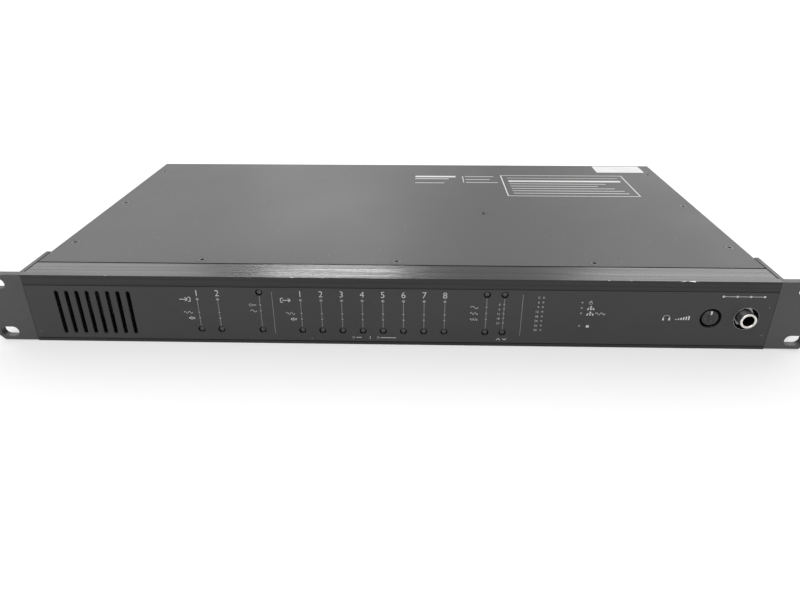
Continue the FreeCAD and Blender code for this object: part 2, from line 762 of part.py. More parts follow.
def front_subpanel():
    """Folded plate behind the bezel that carries the controls, the fan and the front board."""
    body = new_body()
    plate = (SUB_FRONT, SUB_BACK)
    roof_half = f"({HALF} - flange_wide - gap)"
    pad(body, "XZ_Plane", plate, polygons=[rect(f"-{SUB_HALF}", SUB_HALF, "sheet", UNDER)])
    pad(body, "XY_Plane", (UNDER, DECK), polygons=[
        rect(f"-{roof_half}", roof_half, SUB_FRONT, "subpanel_roof")])
    pad(body, "XY_Plane", ("sheet", "2 * sheet"), polygons=[
        rect(f"-{SUB_HALF}", SUB_HALF, SUB_BACK, "subpanel_foot")])
    pad(body, "XZ_Plane", (SUB_BACK, "subpanel_side"), polygons=[
        rect(f"{side} ({SUB_HALF} - sheet)", f"{side} {SUB_HALF}", "2 * sheet", f"{UNDER} - gap")
        for side in "+-"])
    fan_half = "(fan_size / 2 + gap)"
    notch = rect(f"{FAN_X} - {fan_half}", f"{FAN_X} + {fan_half}", SUB_BACK, "subpanel_roof")
    pocket(body, "XY_Plane", (DECK, UNDER), polygons=[notch])
    pocket(body, "XY_Plane", ("sheet", "2 * sheet"), polygons=[notch])
    pocket(body, "XZ_Plane", plate, circles=[(FAN_X, FAN_Z, FAN_BORE)]
           + [(x, z, SCREW_HOLE) for x, z in FAN_SCREWS + SPACERS])
    pocket(body, "XZ_Plane", plate, circles=[(x, z, "button_stem + gap") for x, z in BUTTONS.values()])
    pocket(body, "XZ_Plane", plate, circles=[(KNOB_X, "control_z", "knob_radius + 2 * gap"),
                                             (JACK_X, "control_z", "jack_bushing + run_gap")])
    pocket(body, "XZ_Plane", plate, circles=[(x, z, BEZEL_SCREW_HOLE) for x, z in BEZEL_SCREWS])
    lamp_holes(body, plate)
    pocket(body, "YZ_Plane", (f"-{HALF}", HALF), circles=[(y, z, SCREW_HOLE) for y, z in EAR_SCREWS])
    pocket(body, "XY_Plane", (DECK, UNDER), circles=[(x, y, SCREW_HOLE) for x, y in FRONT_COVER_SCREWS])
    pocket(body, "XY_Plane", ("sheet", "2 * sheet"), circles=[(x, y, SCREW_HOLE) for x, y in FOOT_SCREWS])
    return node("front_subpanel", body)


def front_bezel():
    """Extruded aluminium front with a recessed field, back ribs, an upper lip and a foot lip."""
    body = new_body()
    pad(body, "YZ_Plane", (f"-{HALF}", HALF), polygons=[[
        ("0", "0"), ("foot_deep", "0"), ("foot_deep", "sheet"), ("bezel_wall", "sheet"),
        ("bezel_wall", "rib_low"), (SUB_FRONT, "rib_low"), (SUB_FRONT, "rib_low + rib_low_tall"),
        ("bezel_wall", "rib_low + rib_low_tall"), ("bezel_wall", RIB_HIGH), (SUB_FRONT, RIB_HIGH),
        (SUB_FRONT, f"{RIB_HIGH} + rib_high_tall"), ("bezel_wall", f"{RIB_HIGH} + rib_high_tall"),
        ("bezel_wall", DECK), ("lip_deep", DECK), ("lip_deep", "panel_tall"), ("0", "panel_tall"),
        ("0", FIELD_HIGH), ("recess_deep", FIELD_HIGH), ("recess_deep", "field_low"),
        ("0", "field_low")]])
    pocket(body, "XY_Plane", ("panel_tall", DECK), polygons=[
        rect(f"{side} ({HALF} - lip_relief)", f"{side} {HALF}", "ear_thick", "lip_deep") for side in "+-"])
    front_openings(body, ("0", "bezel_wall"), "0")
    lamp_holes(body, ("0", "bezel_wall"))
    pocket(body, "XZ_Plane", (SUB_FRONT, f"{SUB_FRONT} - bezel_screw_deep - gap"), circles=[
        (x, z, BEZEL_SCREW_HOLE) for x, z in BEZEL_SCREWS])
    pocket(body, "XY_Plane", ("0", "sheet"), circles=[(x, y, SCREW_HOLE) for x, y in FOOT_SCREWS])
    countersink(body, "XY_Plane", "0", "1", FOOT_SCREWS)
    return node("front_bezel", body)


def front_overlay():
    """Thin printed sheet that lies in the bezel's recess."""
    body = new_body()
    face = "recess_deep - overlay_thick"
    pad(body, "XZ_Plane", (face, "recess_deep"), polygons=[rect(
        f"-{HALF} + run_gap", f"{HALF} - run_gap", "field_low + overlay_margin",
        f"{FIELD_HIGH} - overlay_margin")])
    front_openings(body, (face, "recess_deep"), "run_gap")
    lamp_holes(body, (face, "recess_deep"))
    return node("front_overlay", body)


def rack_ears():
    """Right ear with its side wing, and the left ear as its mirror image."""
    body = new_body()
    tip = "(panel_wide / 2)"
    pad(body, "XZ_Plane", ("0", "ear_thick"), polygons=[[
        (HALF, "ear_lift"), (f"{tip} - ear_corner", "ear_lift"), (tip, "ear_lift + ear_corner"),
        (tip, "panel_tall - ear_corner"), (f"{tip} - ear_corner", "panel_tall"), (HALF, "panel_tall")]])
    pad(body, "XZ_Plane", ("ear_thick", "wing_end"), polygons=[
        rect(HALF, f"{HALF} + wing_thick", "ear_lift", "panel_tall")])
    hole = f"{tip} - rack_hole_inset"
    reach = "(rack_slot_long - rack_slot_tall) / 2"
    slots = []
    for side in "+-":
        height = f"{MIDDLE} {side} rack_hole_tall / 2"
        slots.append(((f"{hole} - {reach}", height), (f"{hole} + {reach}", height), "rack_slot_tall / 2"))
    pocket(body, "XZ_Plane", ("0", "ear_thick"), slots=slots)
    outside = f"({HALF} + wing_thick)"
    pocket(body, "YZ_Plane", (outside, HALF), circles=[(y, z, SCREW_HOLE) for y, z in EAR_SCREWS])
    countersink(body, "YZ_Plane", outside, "-1", EAR_SCREWS)
    mirrored = doc.addObject("Part::Mirroring", "mirrored")
    mirrored.Source = plain_copy(body)
    mirrored.Normal = (1, 0, 0)
    node("rack_ear_right", body)
    node("rack_ear_left", mirrored)


def plain_copy(piece):
    """A link to a piece as it is built, before it is moved back."""
    link = doc.addObject("App::Link", "source")
    link.LinkedObject = piece
    link.LinkTransform = False
    return link


# ---- fasteners ---------------------------------------------------------------------------------

def cross_recess(top):
    """Two crossed slots cut down from a screw's top."""
    floor = f"{top} - screw_slot_deep"
    arm = f"screw_head * {RECESS_SHARE}"
    thin = "screw_slot_wide / 2"
    return [box((f"-{arm}", arm), (f"-{thin}", thin), (floor, top)),
            box((f"-{thin}", thin), (f"-{arm}", arm), (floor, top))]


def sunk_screw(long):
    """Countersunk screw with its flush face at the origin, pointing down."""
    head = doc.addObject("Part::Cone", "head")
    bind(head, "Radius1", "screw_radius")
    bind(head, "Radius2", "screw_head")
    bind(head, "Height", SINK)
    bind(head, "Placement.Base.z", f"-{SINK}")
    shank = rod("z", ("0", "0"), (f"-({long})", f"-{SINK}"), "screw_radius")
    return cut(join([head, shank]), cross_recess("0"))


def pan_screw(long, radius="screw_radius", head="screw_head"):
    """Pan-head screw with the underside of its head at the origin, pointing down."""
    crown = rod("z", ("0", "0"), ("0", "screw_head_tall"), head)
    shank = rod("z", ("0", "0"), (f"-({long})", "0"), radius)
    return cut(join([crown, shank]), cross_recess("screw_head_tall"))


# Turns that point a screw, made pointing down, along another axis.
TO_REAR_FACE = about_x(-90)
FROM_BELOW = about_x(180)
FROM_RIGHT = about_y(90)
FROM_LEFT = about_y(-90)


def fasteners():
    spots = FRONT_COVER_SCREWS + SIDE_COVER_SCREWS + [("post_x", "post_y")]
    cover = sunk_screw("cover_screw_long")
    node("cover_screws", group(copies(cover, [(x, y, COVER_TOP) for x, y in spots])))

    ear = sunk_screw("ear_screw_long")
    outside = f"({HALF} + wing_thick)"
    right = copies(ear, [(outside, y, z) for y, z in EAR_SCREWS], FROM_RIGHT)
    left = copies(ear, [(f"-{outside}", y, z) for y, z in EAR_SCREWS], FROM_LEFT)
    node("ear_screws", group(right + left))

    rib = pan_screw("sheet + bezel_screw_deep", "bezel_screw_radius", "bezel_screw_head")
    foot = sunk_screw("foot_screw_long")
    from_behind = copies(rib, [(x, SUB_BACK, z) for x, z in BEZEL_SCREWS], TO_REAR_FACE)
    from_below = copies(foot, [(x, y, "0") for x, y in FOOT_SCREWS], FROM_BELOW)
    node("bezel_screws", group(from_behind + from_below))

    board = pan_screw("board_screw_long")
    upright = copies(board, [(x, y, BOARD_TOP) for x, y in MAIN_POSTS + SUPPLY_POSTS])
    behind = copies(board, [(x, BOARD_BACK, z) for x, z in SPACERS], TO_REAR_FACE)
    node("board_screws", group(upright + behind))

    rear = pan_screw("rear_screw_long")
    plate = copies(rear, [(x, REAR, z) for x, z in RIM_SCREWS + SIDE_RIM_SCREWS + [("ground_x", "rear_z")]],
                   TO_REAR_FACE)
    lip = copies(rear, [(x, "body_deep", z) for x, z in LIP_SCREWS], TO_REAR_FACE)
    inlet = sunk_screw("rear_screw_long")
    flange = copies(inlet, [(x, f"{REAR} + inlet_flange_thick", z) for x, z in INLET_SCREWS], TO_REAR_FACE)
    node("rear_panel_screws", group(plate + lip + flange))

    fan = pan_screw("fan_deep + sheet")
    node("fan_screws", group(copies(fan, [(x, f"{SUB_BACK} + fan_deep", z) for x, z in FAN_SCREWS],
                                    TO_REAR_FACE)))


def standoffs():
    """Pillars between the pan floor and the boards, and the tall post under the cover's middle."""
    pillars = [cut(rod("z", spot, ("sheet", "board_lift"), "post_radius"),
                   [rod("z", spot, ("2 * sheet", "board_lift"), SCREW_HOLE)])
               for spot in MAIN_POSTS + SUPPLY_POSTS]
    spot = ("post_x", "post_y")
    foot = rod("z", spot, ("sheet", "board_lift"), "post_radius")
    neck = rod("z", spot, ("board_lift", BOARD_TOP), "screw_radius")
    tower = rod("z", spot, (BOARD_TOP, DECK), "post_radius")
    tapped = rod("z", spot, (f"{DECK} - cover_screw_long", DECK), SCREW_HOLE)
    node("board_standoffs", group(pillars + [cut(join([foot, neck, tower]), [tapped])]))

    spacers = [cut(rod("y", spot, (SUB_BACK, BOARD_FRONT), "spacer_radius"),
                   [rod("y", spot, (f"{SUB_BACK} + gap", BOARD_FRONT), SCREW_HOLE)])
               for spot in SPACERS]
    node("front_board_spacers", group(spacers))


# ---- controls ----------------------------------------------------------------------------------

def buttons():
    """Push buttons: a cap in the panel, a flange behind it and a stem into the key switch."""
    flange_front = "(bezel_wall + button_rest)"
    flange_back = "(bezel_wall + button_rest + button_flange_thick)"
    for label, (x, z) in BUTTONS.items():
        cap = rod("y", ("0", "0"), ("button_sunk", flange_front), "button_cap")
        flange = rod("y", ("0", "0"), (flange_front, flange_back), "button_flange")
        stem = rod("y", ("0", "0"), (flange_back, f"{SWITCH_FRONT} + switch_grip"), "button_stem")
        node(label, join([cap, flange, stem]), x=x, z=z)


def tact_switches():
    """Key switches on the front board, each with a socket for a button's stem."""
    case = block_at("0", "0", "switch_size", "switch_size", SWITCH_FRONT, BOARD_FRONT)
    socket = rod("y", ("0", "0"), (SWITCH_FRONT, f"{SWITCH_FRONT} + switch_grip + button_travel + gap"),
                 "button_stem + gap")
    places = [(x, "0", z) for x, z in BUTTONS.values()]
    node("tact_switches", group(copies(cut(case, [socket]), places)))


def light_pipe(radius):
    """Clear pin from the panel face to a lamp on the board, with a shoulder behind the subpanel."""
    pipe = rod("y", ("0", "0"), ("lamp_sunk", LAMP_BACK), radius)
    shoulder = rod("y", ("0", "0"), (SUB_BACK, f"{SUB_BACK} + 2 * lamp_shoulder"),
                   f"{radius} + lamp_shoulder")
    return join([pipe, shoulder])


def lenses():
    big = light_pipe("lamp_big")
    small = light_pipe("lamp_small")
    node("channel_lenses", group(copies(big, [(x, "0", z) for x, z in BIG_LAMPS])))
    node("small_lenses", group(copies(small, [(x, "0", z) for x, z in SMALL_LAMPS])))
    chip = block_at("0", "0", "2 * lamp_small", "2 * lamp_small",
                    f"{BOARD_FRONT} - lamp_chip", BOARD_FRONT)
    node("front_board_leds", group(copies(chip, [(x, "0", z) for x, z in BIG_LAMPS + SMALL_LAMPS])))


def keyed_bar(span, slack):
    """A D-shaped bar along Y: round, with one flat on top."""
    outer = f"(shaft_radius + {slack})"
    above = box((f"-{outer}", outer), span, (f"shaft_flat + {slack}", f"{outer} + gap"))
    return cut(rod("y", ("0", "0"), span, outer), [above])


def volume_control():
    """Push-in knob whose keyed shaft slides in the turning sleeve of the potentiometer."""
    cap = rod("y", ("0", "0"), ("0", "knob_long"), "knob_radius")
    shaft = keyed_bar(("knob_long", SHAFT_END), "0")
    node("headphone_knob", join([cap, shaft]), x=KNOB_X, z="control_z")

    tube = rod("y", ("0", "0"), ("sleeve_start", SLEEVE_END), "sleeve_radius")
    bore = keyed_bar(("sleeve_start", SLEEVE_END), "run_gap")
    node("volume_pot_sleeve", cut(tube, [bore]), x=KNOB_X, z="control_z")

    case = block_at("0", "0", "pot_size", "pot_size", BOARD_BACK, f"{SLEEVE_END} + gap + pot_wall")
    well = rod("y", ("0", "0"), (BOARD_BACK, f"{SLEEVE_END} + gap"), "sleeve_radius + run_gap")
    node("volume_pot_body", cut(case, [well]), x=KNOB_X, z="control_z")


def headphone_jack():
    """Jack body behind the subpanel, its threaded bushing and the hexagon nut in front."""
    bushing = rod("y", ("0", "0"), ("-jack_proud", f"{SUB_BACK} + jack_seat"), "jack_bushing")
    bore = rod("y", ("0", "0"), ("-jack_proud", f"{SUB_BACK} + jack_seat"), "jack_bore")
    node("headphone_jack_bushing", cut(bushing, [bore]), x=JACK_X, z="control_z")

    case = block_at("0", "0", "jack_size", "jack_size", SUB_BACK, f"{SUB_BACK} + jack_deep")
    seat = rod("y", ("0", "0"), (SUB_BACK, f"{SUB_BACK} + jack_seat"), "jack_bushing + run_gap")
    well = rod("y", ("0", "0"), (SUB_BACK, f"{SUB_BACK} + jack_inner_deep"), "jack_inner_bore")
    node("headphone_jack_body", cut(case, [seat, well]), x=JACK_X, z="control_z")

    nut = doc.addObject("Part::Prism", "nut")
    nut.Polygon = 6
    nut.Placement = FreeCAD.Placement(FreeCAD.Vector(), TURN["y"])
    bind(nut, "Circumradius", "jack_nut_flats / sqrt(3)")
    bind(nut, "Height", "jack_nut_thick")
    bind(nut, "Placement.Base.y", f"{SUB_FRONT} - jack_nut_thick")
    hole = rod("y", ("0", "0"), (f"{SUB_FRONT} - jack_nut_thick", SUB_FRONT), "jack_bushing + run_gap")
    node("headphone_jack_nut", cut(nut, [hole]), x=JACK_X, z="control_z")


# ---- fan ---------------------------------------------------------------------------------------

def fan():
    """Axial fan behind the vent slots: square frame with rear struts, and a bladed rotor."""
    front = SUB_BACK
    back = f"({SUB_BACK} + fan_deep)"
    hub_front = f"({back} - fan_back)"
    case = block_at("0", "0", "fan_size", "fan_size", front, back)
    holes = [rod("y", (f"{a} {FAN_SCREW}", f"{b} {FAN_SCREW}"), (front, back), SCREW_HOLE)
             for a in "+-" for b in "+-"]
    ring = cut(case, [rod("y", ("0", "0"), (front, back), FAN_BORE)] + holes)
    hub = rod("y", ("0", "0"), (hub_front, back), "fan_hub")
    cross = [block_at("0", "0", f"2 * {FAN_BORE} + gap", "fan_strut", hub_front, back),
             block_at("0", "0", "fan_strut", f"2 * {FAN_BORE} + gap", hub_front, back)]
    bearing = rod("y", ("0", "0"), (hub_front, back), "fan_shaft + run_gap")
    node("fan_frame", cut(join([ring, hub] + cross), [bearing]), x=FAN_X, z=FAN_Z)

    rotor_front = f"({front} + 4 * gap)"
    rotor_back = f"({hub_front} - 2 * gap)"
    drum = rod("y", ("0", "0"), (rotor_front, rotor_back), "fan_hub")
    shaft = rod("y", ("0", "0"), (rotor_back, f"{back} - 2 * gap"), "fan_shaft")
    blade = box(("fan_hub - fan_blade_thick", FAN_REACH),
                ("-fan_blade_thick / 2", "fan_blade_thick / 2"),
                ("-fan_blade_chord / 2", "fan_blade_chord / 2"))
    tilted = group([blade])
    tilted.Placement = FreeCAD.Placement(FreeCAD.Vector(), about_x(FAN_BLADE_TILT))
    blades = []
    for index in range(FAN_BLADES):
        blades += copies(tilted, [("0", between(rotor_front, rotor_back), "0")],
                         about_y(360 * index / FAN_BLADES))
    node("fan_rotor", join([drum, shaft] + blades), x=FAN_X, z=FAN_Z)


# ---- boards and what they carry ----------------------------------------------------------------

def boards():
    front = new_body()
    span = (BOARD_FRONT, BOARD_BACK)
    pad(front, "XZ_Plane", span, polygons=[
        rect("input_first - front_board_margin", f"{KNOB_X} + front_board_margin",
             "front_board_low", FRONT_BOARD_HIGH)])
    pocket(front, "XZ_Plane", span, circles=[(x, z, SCREW_HOLE) for x, z in SPACERS]
           + [(KNOB_X, "control_z", "knob_radius + 2 * gap")])
    node("front_board", front)

    main = new_body()
    layer = ("board_lift", BOARD_TOP)
    pad(main, "XY_Plane", layer, polygons=[rect("main_left", MAIN_RIGHT, "main_front", MAIN_REAR)])
    pocket(main, "XY_Plane", layer, circles=[
        (x, y, SCREW_HOLE) for x, y in MAIN_POSTS + [("post_x", "post_y")]])
    node("main_board", main)

    supply = new_body()
    pad(supply, "XY_Plane", layer, polygons=[
        rect(SUPPLY_LEFT, SUPPLY_RIGHT, "supply_front", SUPPLY_REAR)])
    pocket(supply, "XY_Plane", layer, circles=[(x, y, SCREW_HOLE) for x, y in SUPPLY_POSTS])
    node("power_supply_board", supply)


def on_board(x, y, wide, deep, tall):
    """A block that stands on a board, centred on x and y."""
    return box((f"{x} - {wide} / 2", f"{x} + {wide} / 2"), (f"{y} - {deep} / 2", f"{y} + {deep} / 2"),
               (BOARD_TOP, f"{BOARD_TOP} + {tall}"))


def board_parts():
    chips = [on_board("processor_x", "processor_y", "processor_size", "processor_size", "processor_tall"),
             on_board("network_x", f"{MAIN_REAR} - network_inset", "network_wide", "network_deep",
                      "network_tall")]
    chips += [on_board(x, f"{MAIN_REAR} - converter_inset", "converter_wide", "converter_deep",
                       "converter_tall") for x in HEADER_COLUMNS]
    node("main_board_chips", group(chips))

    middle = f"supply_front + transformer_share * {SUPPLY_DEEP}"
    winding = on_board(SUPPLY_MID, middle, "transformer_wide", "transformer_deep", "transformer_tall")
    core = on_board(SUPPLY_MID, middle, "core_wide", "core_deep", "transformer_tall")
    node("supply_transformer", join([winding, core]))

    cans = [rod("z", (f"{k - (SUPPLY_CAPACITORS - 1) / 2} * capacitor_pitch + {SUPPLY_MID}",
                      f"supply_front + capacitor_share * {SUPPLY_DEEP}"),
                (BOARD_TOP, f"{BOARD_TOP} + capacitor_tall"), "capacitor_radius")
            for k in range(SUPPLY_CAPACITORS)]
    node("supply_capacitors", group(cans))
    block = on_board(INLET_X, BLOCK_Y, "block_wide", "block_deep", "block_tall")
    node("supply_terminal_block", group([block]))


def ribbon_cable():
    """Flat cable from the front board, bending down into the plug on the main board."""
    plug_half = "(ribbon_wide / 2 + plug_margin)"
    sides = (f"ribbon_x - {plug_half}", f"ribbon_x + {plug_half}")
    front_end = f"({BOARD_BACK} + plug_deep)"
    main_top = "(ribbon_z - ribbon_bend)"
    front_plug = box(sides, (BOARD_BACK, front_end),
                     ("ribbon_z - plug_deep / 2", "ribbon_z + plug_deep / 2"))
    main_plug = box(sides, ("ribbon_plug_y - plug_deep / 2", "ribbon_plug_y + plug_deep / 2"),
                    (BOARD_TOP, main_top))
    strip = ("ribbon_x - ribbon_wide / 2", "ribbon_x + ribbon_wide / 2")
    bend_start = "ribbon_plug_y - ribbon_bend"
    flat = box(strip, (front_end, bend_start),
               ("ribbon_z - ribbon_thick / 2", "ribbon_z + ribbon_thick / 2"))
    outer = rod("x", (bend_start, main_top), strip, "ribbon_bend + ribbon_thick / 2")
    inner = rod("x", (bend_start, main_top), strip, "ribbon_bend - ribbon_thick / 2")
    corner = box(strip, (bend_start, "ribbon_plug_y + ribbon_thick"), (main_top, "ribbon_z + ribbon_thick"))
    bend = doc.addObject("Part::Common", "bend")
    bend.Base = cut(outer, [inner])
    bend.Tool = corner
    node("ribbon_cable", group([front_plug, main_plug, join([flat, bend])]))


def lead(points):
    """A round wire along straight runs joined by tangent arcs."""
    spots = [FreeCAD.Vector(*(value(coordinate) for coordinate in point)) for point in points]
    edges = []
    start = spots[0]
    for before, corner, after in zip(spots, spots[1:], spots[2:]):
        arriving = corner - before
        leaving = after - corner
        half_turn = arriving.getAngle(leaving) / 2
        trim = LEAD_TRIM * min(arriving.Length, leaving.Length)
        into = corner - FreeCAD.Vector(arriving).normalize() * trim
        out = corner + FreeCAD.Vector(leaving).normalize() * trim
        radius = trim / math.tan(half_turn)
        bisector = (FreeCAD.Vector(leaving).normalize() - FreeCAD.Vector(arriving).normalize()).normalize()
        inside = corner + bisector * (radius / math.cos(half_turn) - radius)
        edges.append(Part.LineSegment(start, into).toShape())
        edges.append(Part.Arc(into, inside, out).toShape())
        print(f"lead bend radius {radius:.1f}")
        start = out
    edges.append(Part.LineSegment(start, spots[-1]).toShape())
    path = Part.Wire(edges)
    heading = spots[1] - spots[0]
    section = Part.Wire(Part.makeCircle(value("lead_radius"), spots[0], heading))
    tube = path.makePipeShell([section], True, True)
    wire = doc.addObject("Part::Feature", "lead")
    wire.Shape = tube
    return wire


def mains_leads():
    """Leads from the inlet to the power switch and on to the supply."""
    blade_end = f"({REAR} - inlet_deep - blade_tab)"
    tab_end = f"({REAR} - switch_deep - switch_tab_long)"
    block_face = f"({BLOCK_Y} + block_deep / 2)"
    live_x = f"({INLET_X} + blade_x)"
    neutral_x = f"({INLET_X} - blade_x)"
    upper = "(rear_z + switch_tab_rise)"
    loop_y = f"{blade_end} - lead_loop"
    block_out = f"{block_face} + lead_straight"
    live = lead([(live_x, blade_end, "rear_z"), (live_x, loop_y, "rear_z"),
                 (SWITCH_X, loop_y, "rear_z"), (SWITCH_X, tab_end, "rear_z")])
    switched = lead([(SWITCH_X, tab_end, upper), (SWITCH_X, f"{tab_end} - lead_straight", upper),
                     (live_x, block_out, upper), (live_x, block_face, upper)])
    neutral = lead([(neutral_x, blade_end, "rear_z"), (neutral_x, f"{blade_end} - lead_straight", "rear_z"),
                    (INLET_X, block_out, "rear_z"), (INLET_X, block_face, "rear_z")])
    node("mains_leads", group([live, switched, neutral]))


# ---- rear connectors ---------------------------------------------------------------------------

def mains_inlet():
    """Recessed inlet: a shroud with a screwed flange, and three blades through its base."""
    face = f"({REAR} + inlet_proud)"
    back = f"({REAR} - inlet_deep)"
    shroud = block_at("0", "0", "inlet_wide", "inlet_tall", back, face)
    flange_face = f"{REAR} + inlet_flange_thick"
    flange = block_at("0", "0", "inlet_flange_wide", "inlet_flange_tall", REAR, flange_face)
    mouth = block_at("0", "0", "inlet_wide - 2 * inlet_wall", "inlet_tall - 2 * inlet_wall",
                     f"{back} + inlet_base", face)
    blades = [("-blade_x", "0"), ("0", "earth_rise"), ("blade_x", "0")]
    slots = [block_at(x, z, "blade_wide + 2 * run_gap", "blade_tall + 2 * run_gap",
                      back, f"{back} + inlet_base") for x, z in blades]
    holes = [rod("y", (f"{side} inlet_screw_x", "0"), (REAR, flange_face), SCREW_HOLE) for side in "+-"]
    for side in "+-":
        seat = doc.addObject("Part::Cone", "seat")
        seat.Placement = FreeCAD.Placement(FreeCAD.Vector(), TURN["y"])
        bind(seat, "Radius1", SCREW_HOLE)
        bind(seat, "Radius2", "screw_head + screw_slack")
        bind(seat, "Height", SINK)
        bind(seat, "Placement.Base.x", f"{side} inlet_screw_x")
        bind(seat, "Placement.Base.y", f"{flange_face} - {SINK}")
        holes.append(seat)
    node("mains_inlet", cut(join([shroud, flange]), [mouth] + slots + holes), x=INLET_X, z="rear_z")
    metal = [block_at(x, z, "blade_wide", "blade_tall", f"{back} - blade_tab", f"{face} - blade_sunk")
             for x, z in blades]
    node("inlet_blades", group(metal), x=INLET_X, z="rear_z")


def power_switch():
    """Rocker switch: a frame set in the rear panel, and the rocker on its two pins."""
    face = f"({REAR} + switch_rim)"
    back = f"({REAR} - switch_deep)"
    case = block_at("0", "0", f"2 * {SWITCH_HALF_WIDE}", f"2 * {SWITCH_HALF_TALL}", back, REAR)
    rim = block_at("0", "0", f"2 * ({SWITCH_HALF_WIDE} + switch_rim)",
                   f"2 * ({SWITCH_HALF_TALL} + switch_rim)", REAR, face)
    tabs = [block_at("0", z, "switch_rim", "blade_tall", f"{back} - switch_tab_long", back)
            for z in ("0", "switch_tab_rise")]
    well = block_at("0", "0", "rocker_wide + 2 * rocker_gap", "2 * (rocker_radius + rocker_gap)",
                    f"{PIVOT} - rocker_radius - rocker_gap", face)
    reach = "(rocker_wide / 2 + rocker_pin_long)"
    sockets = rod("x", (PIVOT, "0"), (f"-{reach} - rocker_gap", f"{reach} + rocker_gap"),
                  "rocker_pin + run_gap")
    node("power_switch_frame", cut(join([case, rim] + tabs), [well, sockets]), x=SWITCH_X, z="rear_z")

    body = new_body()
    pad(body, "YZ_Plane", ("-rocker_wide / 2", "rocker_wide / 2"), polygons=[[
        ("-rocker_back", "-rocker_radius"), ("rocker_tip", "-rocker_radius"), ("rocker_mid", "0"),
        ("rocker_tip", "rocker_radius"), ("-rocker_back", "rocker_radius")]])
    drum = rod("x", ("0", "0"), ("-rocker_wide / 2", "rocker_wide / 2"), "rocker_radius")
    paddle = doc.addObject("Part::Common", "paddle")
    paddle.Base = body
    paddle.Tool = drum
    pins = rod("x", ("0", "0"), (f"-{reach}", reach), "rocker_pin")
    rocker = join([paddle, pins])
    rocker.Placement = FreeCAD.Placement(FreeCAD.Vector(), about_x(1))
    bind(rocker, "Placement.Rotation.Angle", "rocker_tilt")
    node("power_rocker", rocker, x=SWITCH_X, y=PIVOT, z="rear_z")


def ethernet_jacks():
    """Network sockets on the main board: a stepped mouth with a latch notch below it."""
    face = f"({REAR} + ethernet_proud)"
    low = f"({BOARD_TOP} + ethernet_mouth_lift)"
    mouth_start = f"{face} - ethernet_mouth_deep"
    shell = box(("-ethernet_wide / 2", "ethernet_wide / 2"), (f"{face} - ethernet_deep", face),
                (BOARD_TOP, f"{BOARD_TOP} + ethernet_tall"))
    mouth = box(("-ethernet_mouth_wide / 2", "ethernet_mouth_wide / 2"), (mouth_start, face),
                (low, f"{low} + ethernet_mouth_tall"))
    latch = box(("-ethernet_latch_wide / 2", "ethernet_latch_wide / 2"), (mouth_start, face),
                (f"{low} - ethernet_latch_tall", low))
    jack = cut(shell, [mouth, latch])
    node("ethernet_jacks", group(copies(jack, [(x, "0", "0") for x in ETHERNET_COLUMNS])))


def terminal_headers():
    """Open-mouthed headers for plug-in screw terminals, with their row of pins."""
    face = f"({REAR} + header_proud)"
    well = f"({face} - header_mouth)"
    low = BOARD_TOP
    shell = box(("-header_wide / 2", "header_wide / 2"), (f"{face} - header_deep", face),
                (low, f"{low} + header_tall"))
    mouth = box(("-header_wide / 2 + header_wall", "header_wide / 2 - header_wall"), (well, face),
                (f"{low} + header_wall", f"{low} + header_tall - header_wall"))
    node("terminal_headers", group(copies(cut(shell, [mouth]), [(x, "0", "0") for x in HEADER_COLUMNS])))
    half_pin = "pin_size / 2"
    height = f"({low} + header_tall / 2)"
    pin_bar = box((f"-{half_pin}", half_pin), (well, f"{face} - pin_sunk"),
                  (f"{height} - {half_pin}", f"{height} + {half_pin}"))
    places = [(f"{x} + {k - (HEADER_PINS - 1) / 2} * pin_pitch", "0", "0")
              for x in HEADER_COLUMNS for k in range(HEADER_PINS)]
    node("header_pins", group(copies(pin_bar, places)))


# ---- build, check and write --------------------------------------------------------------------

for build in (chassis_pan, top_cover, rear_panel, front_subpanel, front_bezel, front_overlay, rack_ears,
              fasteners, standoffs, buttons, tact_switches, lenses, volume_control, headphone_jack, fan,
              boards, board_parts, ribbon_cable, mains_leads, mains_inlet, power_switch, ethernet_jacks,
              terminal_headers):
    build()
doc.recompute()

failed = [thing.Name for thing in doc.Objects if {"Invalid", "Error"} & set(thing.State)]
if failed:
    raise SystemExit(f"these objects did not build: {failed}")
for piece in NODES:
    if piece.Shape.isNull() or not piece.Shape.isValid():
        raise SystemExit(f"{piece.Label} has no valid shape")

os.makedirs("parts", exist_ok=True)
for piece in NODES:
    piece.Shape.exportStep(f"parts/{piece.Label}.step")
print(f"wrote {len(NODES)} sub-parts")
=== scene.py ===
# %% [markdown]
# # A rack-mounted audio interface
#
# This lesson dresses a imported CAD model: a low steel case with a black aluminium front, two rack ears, small
# push buttons, rows of lamps, a volume knob and a headphone socket. The CAD gives the parts, with their sizes
# and places. Blender adds what the eye needs: softened edges, printed marks, thread, ribs, and finishes with
# grain and wear.
#
# Pieces are in metres and in the CAD's own frame: X runs along the front, Y runs from the front to the back,
# and Z runs up from the underside. Only the printed marks are drawn in millimetres first.

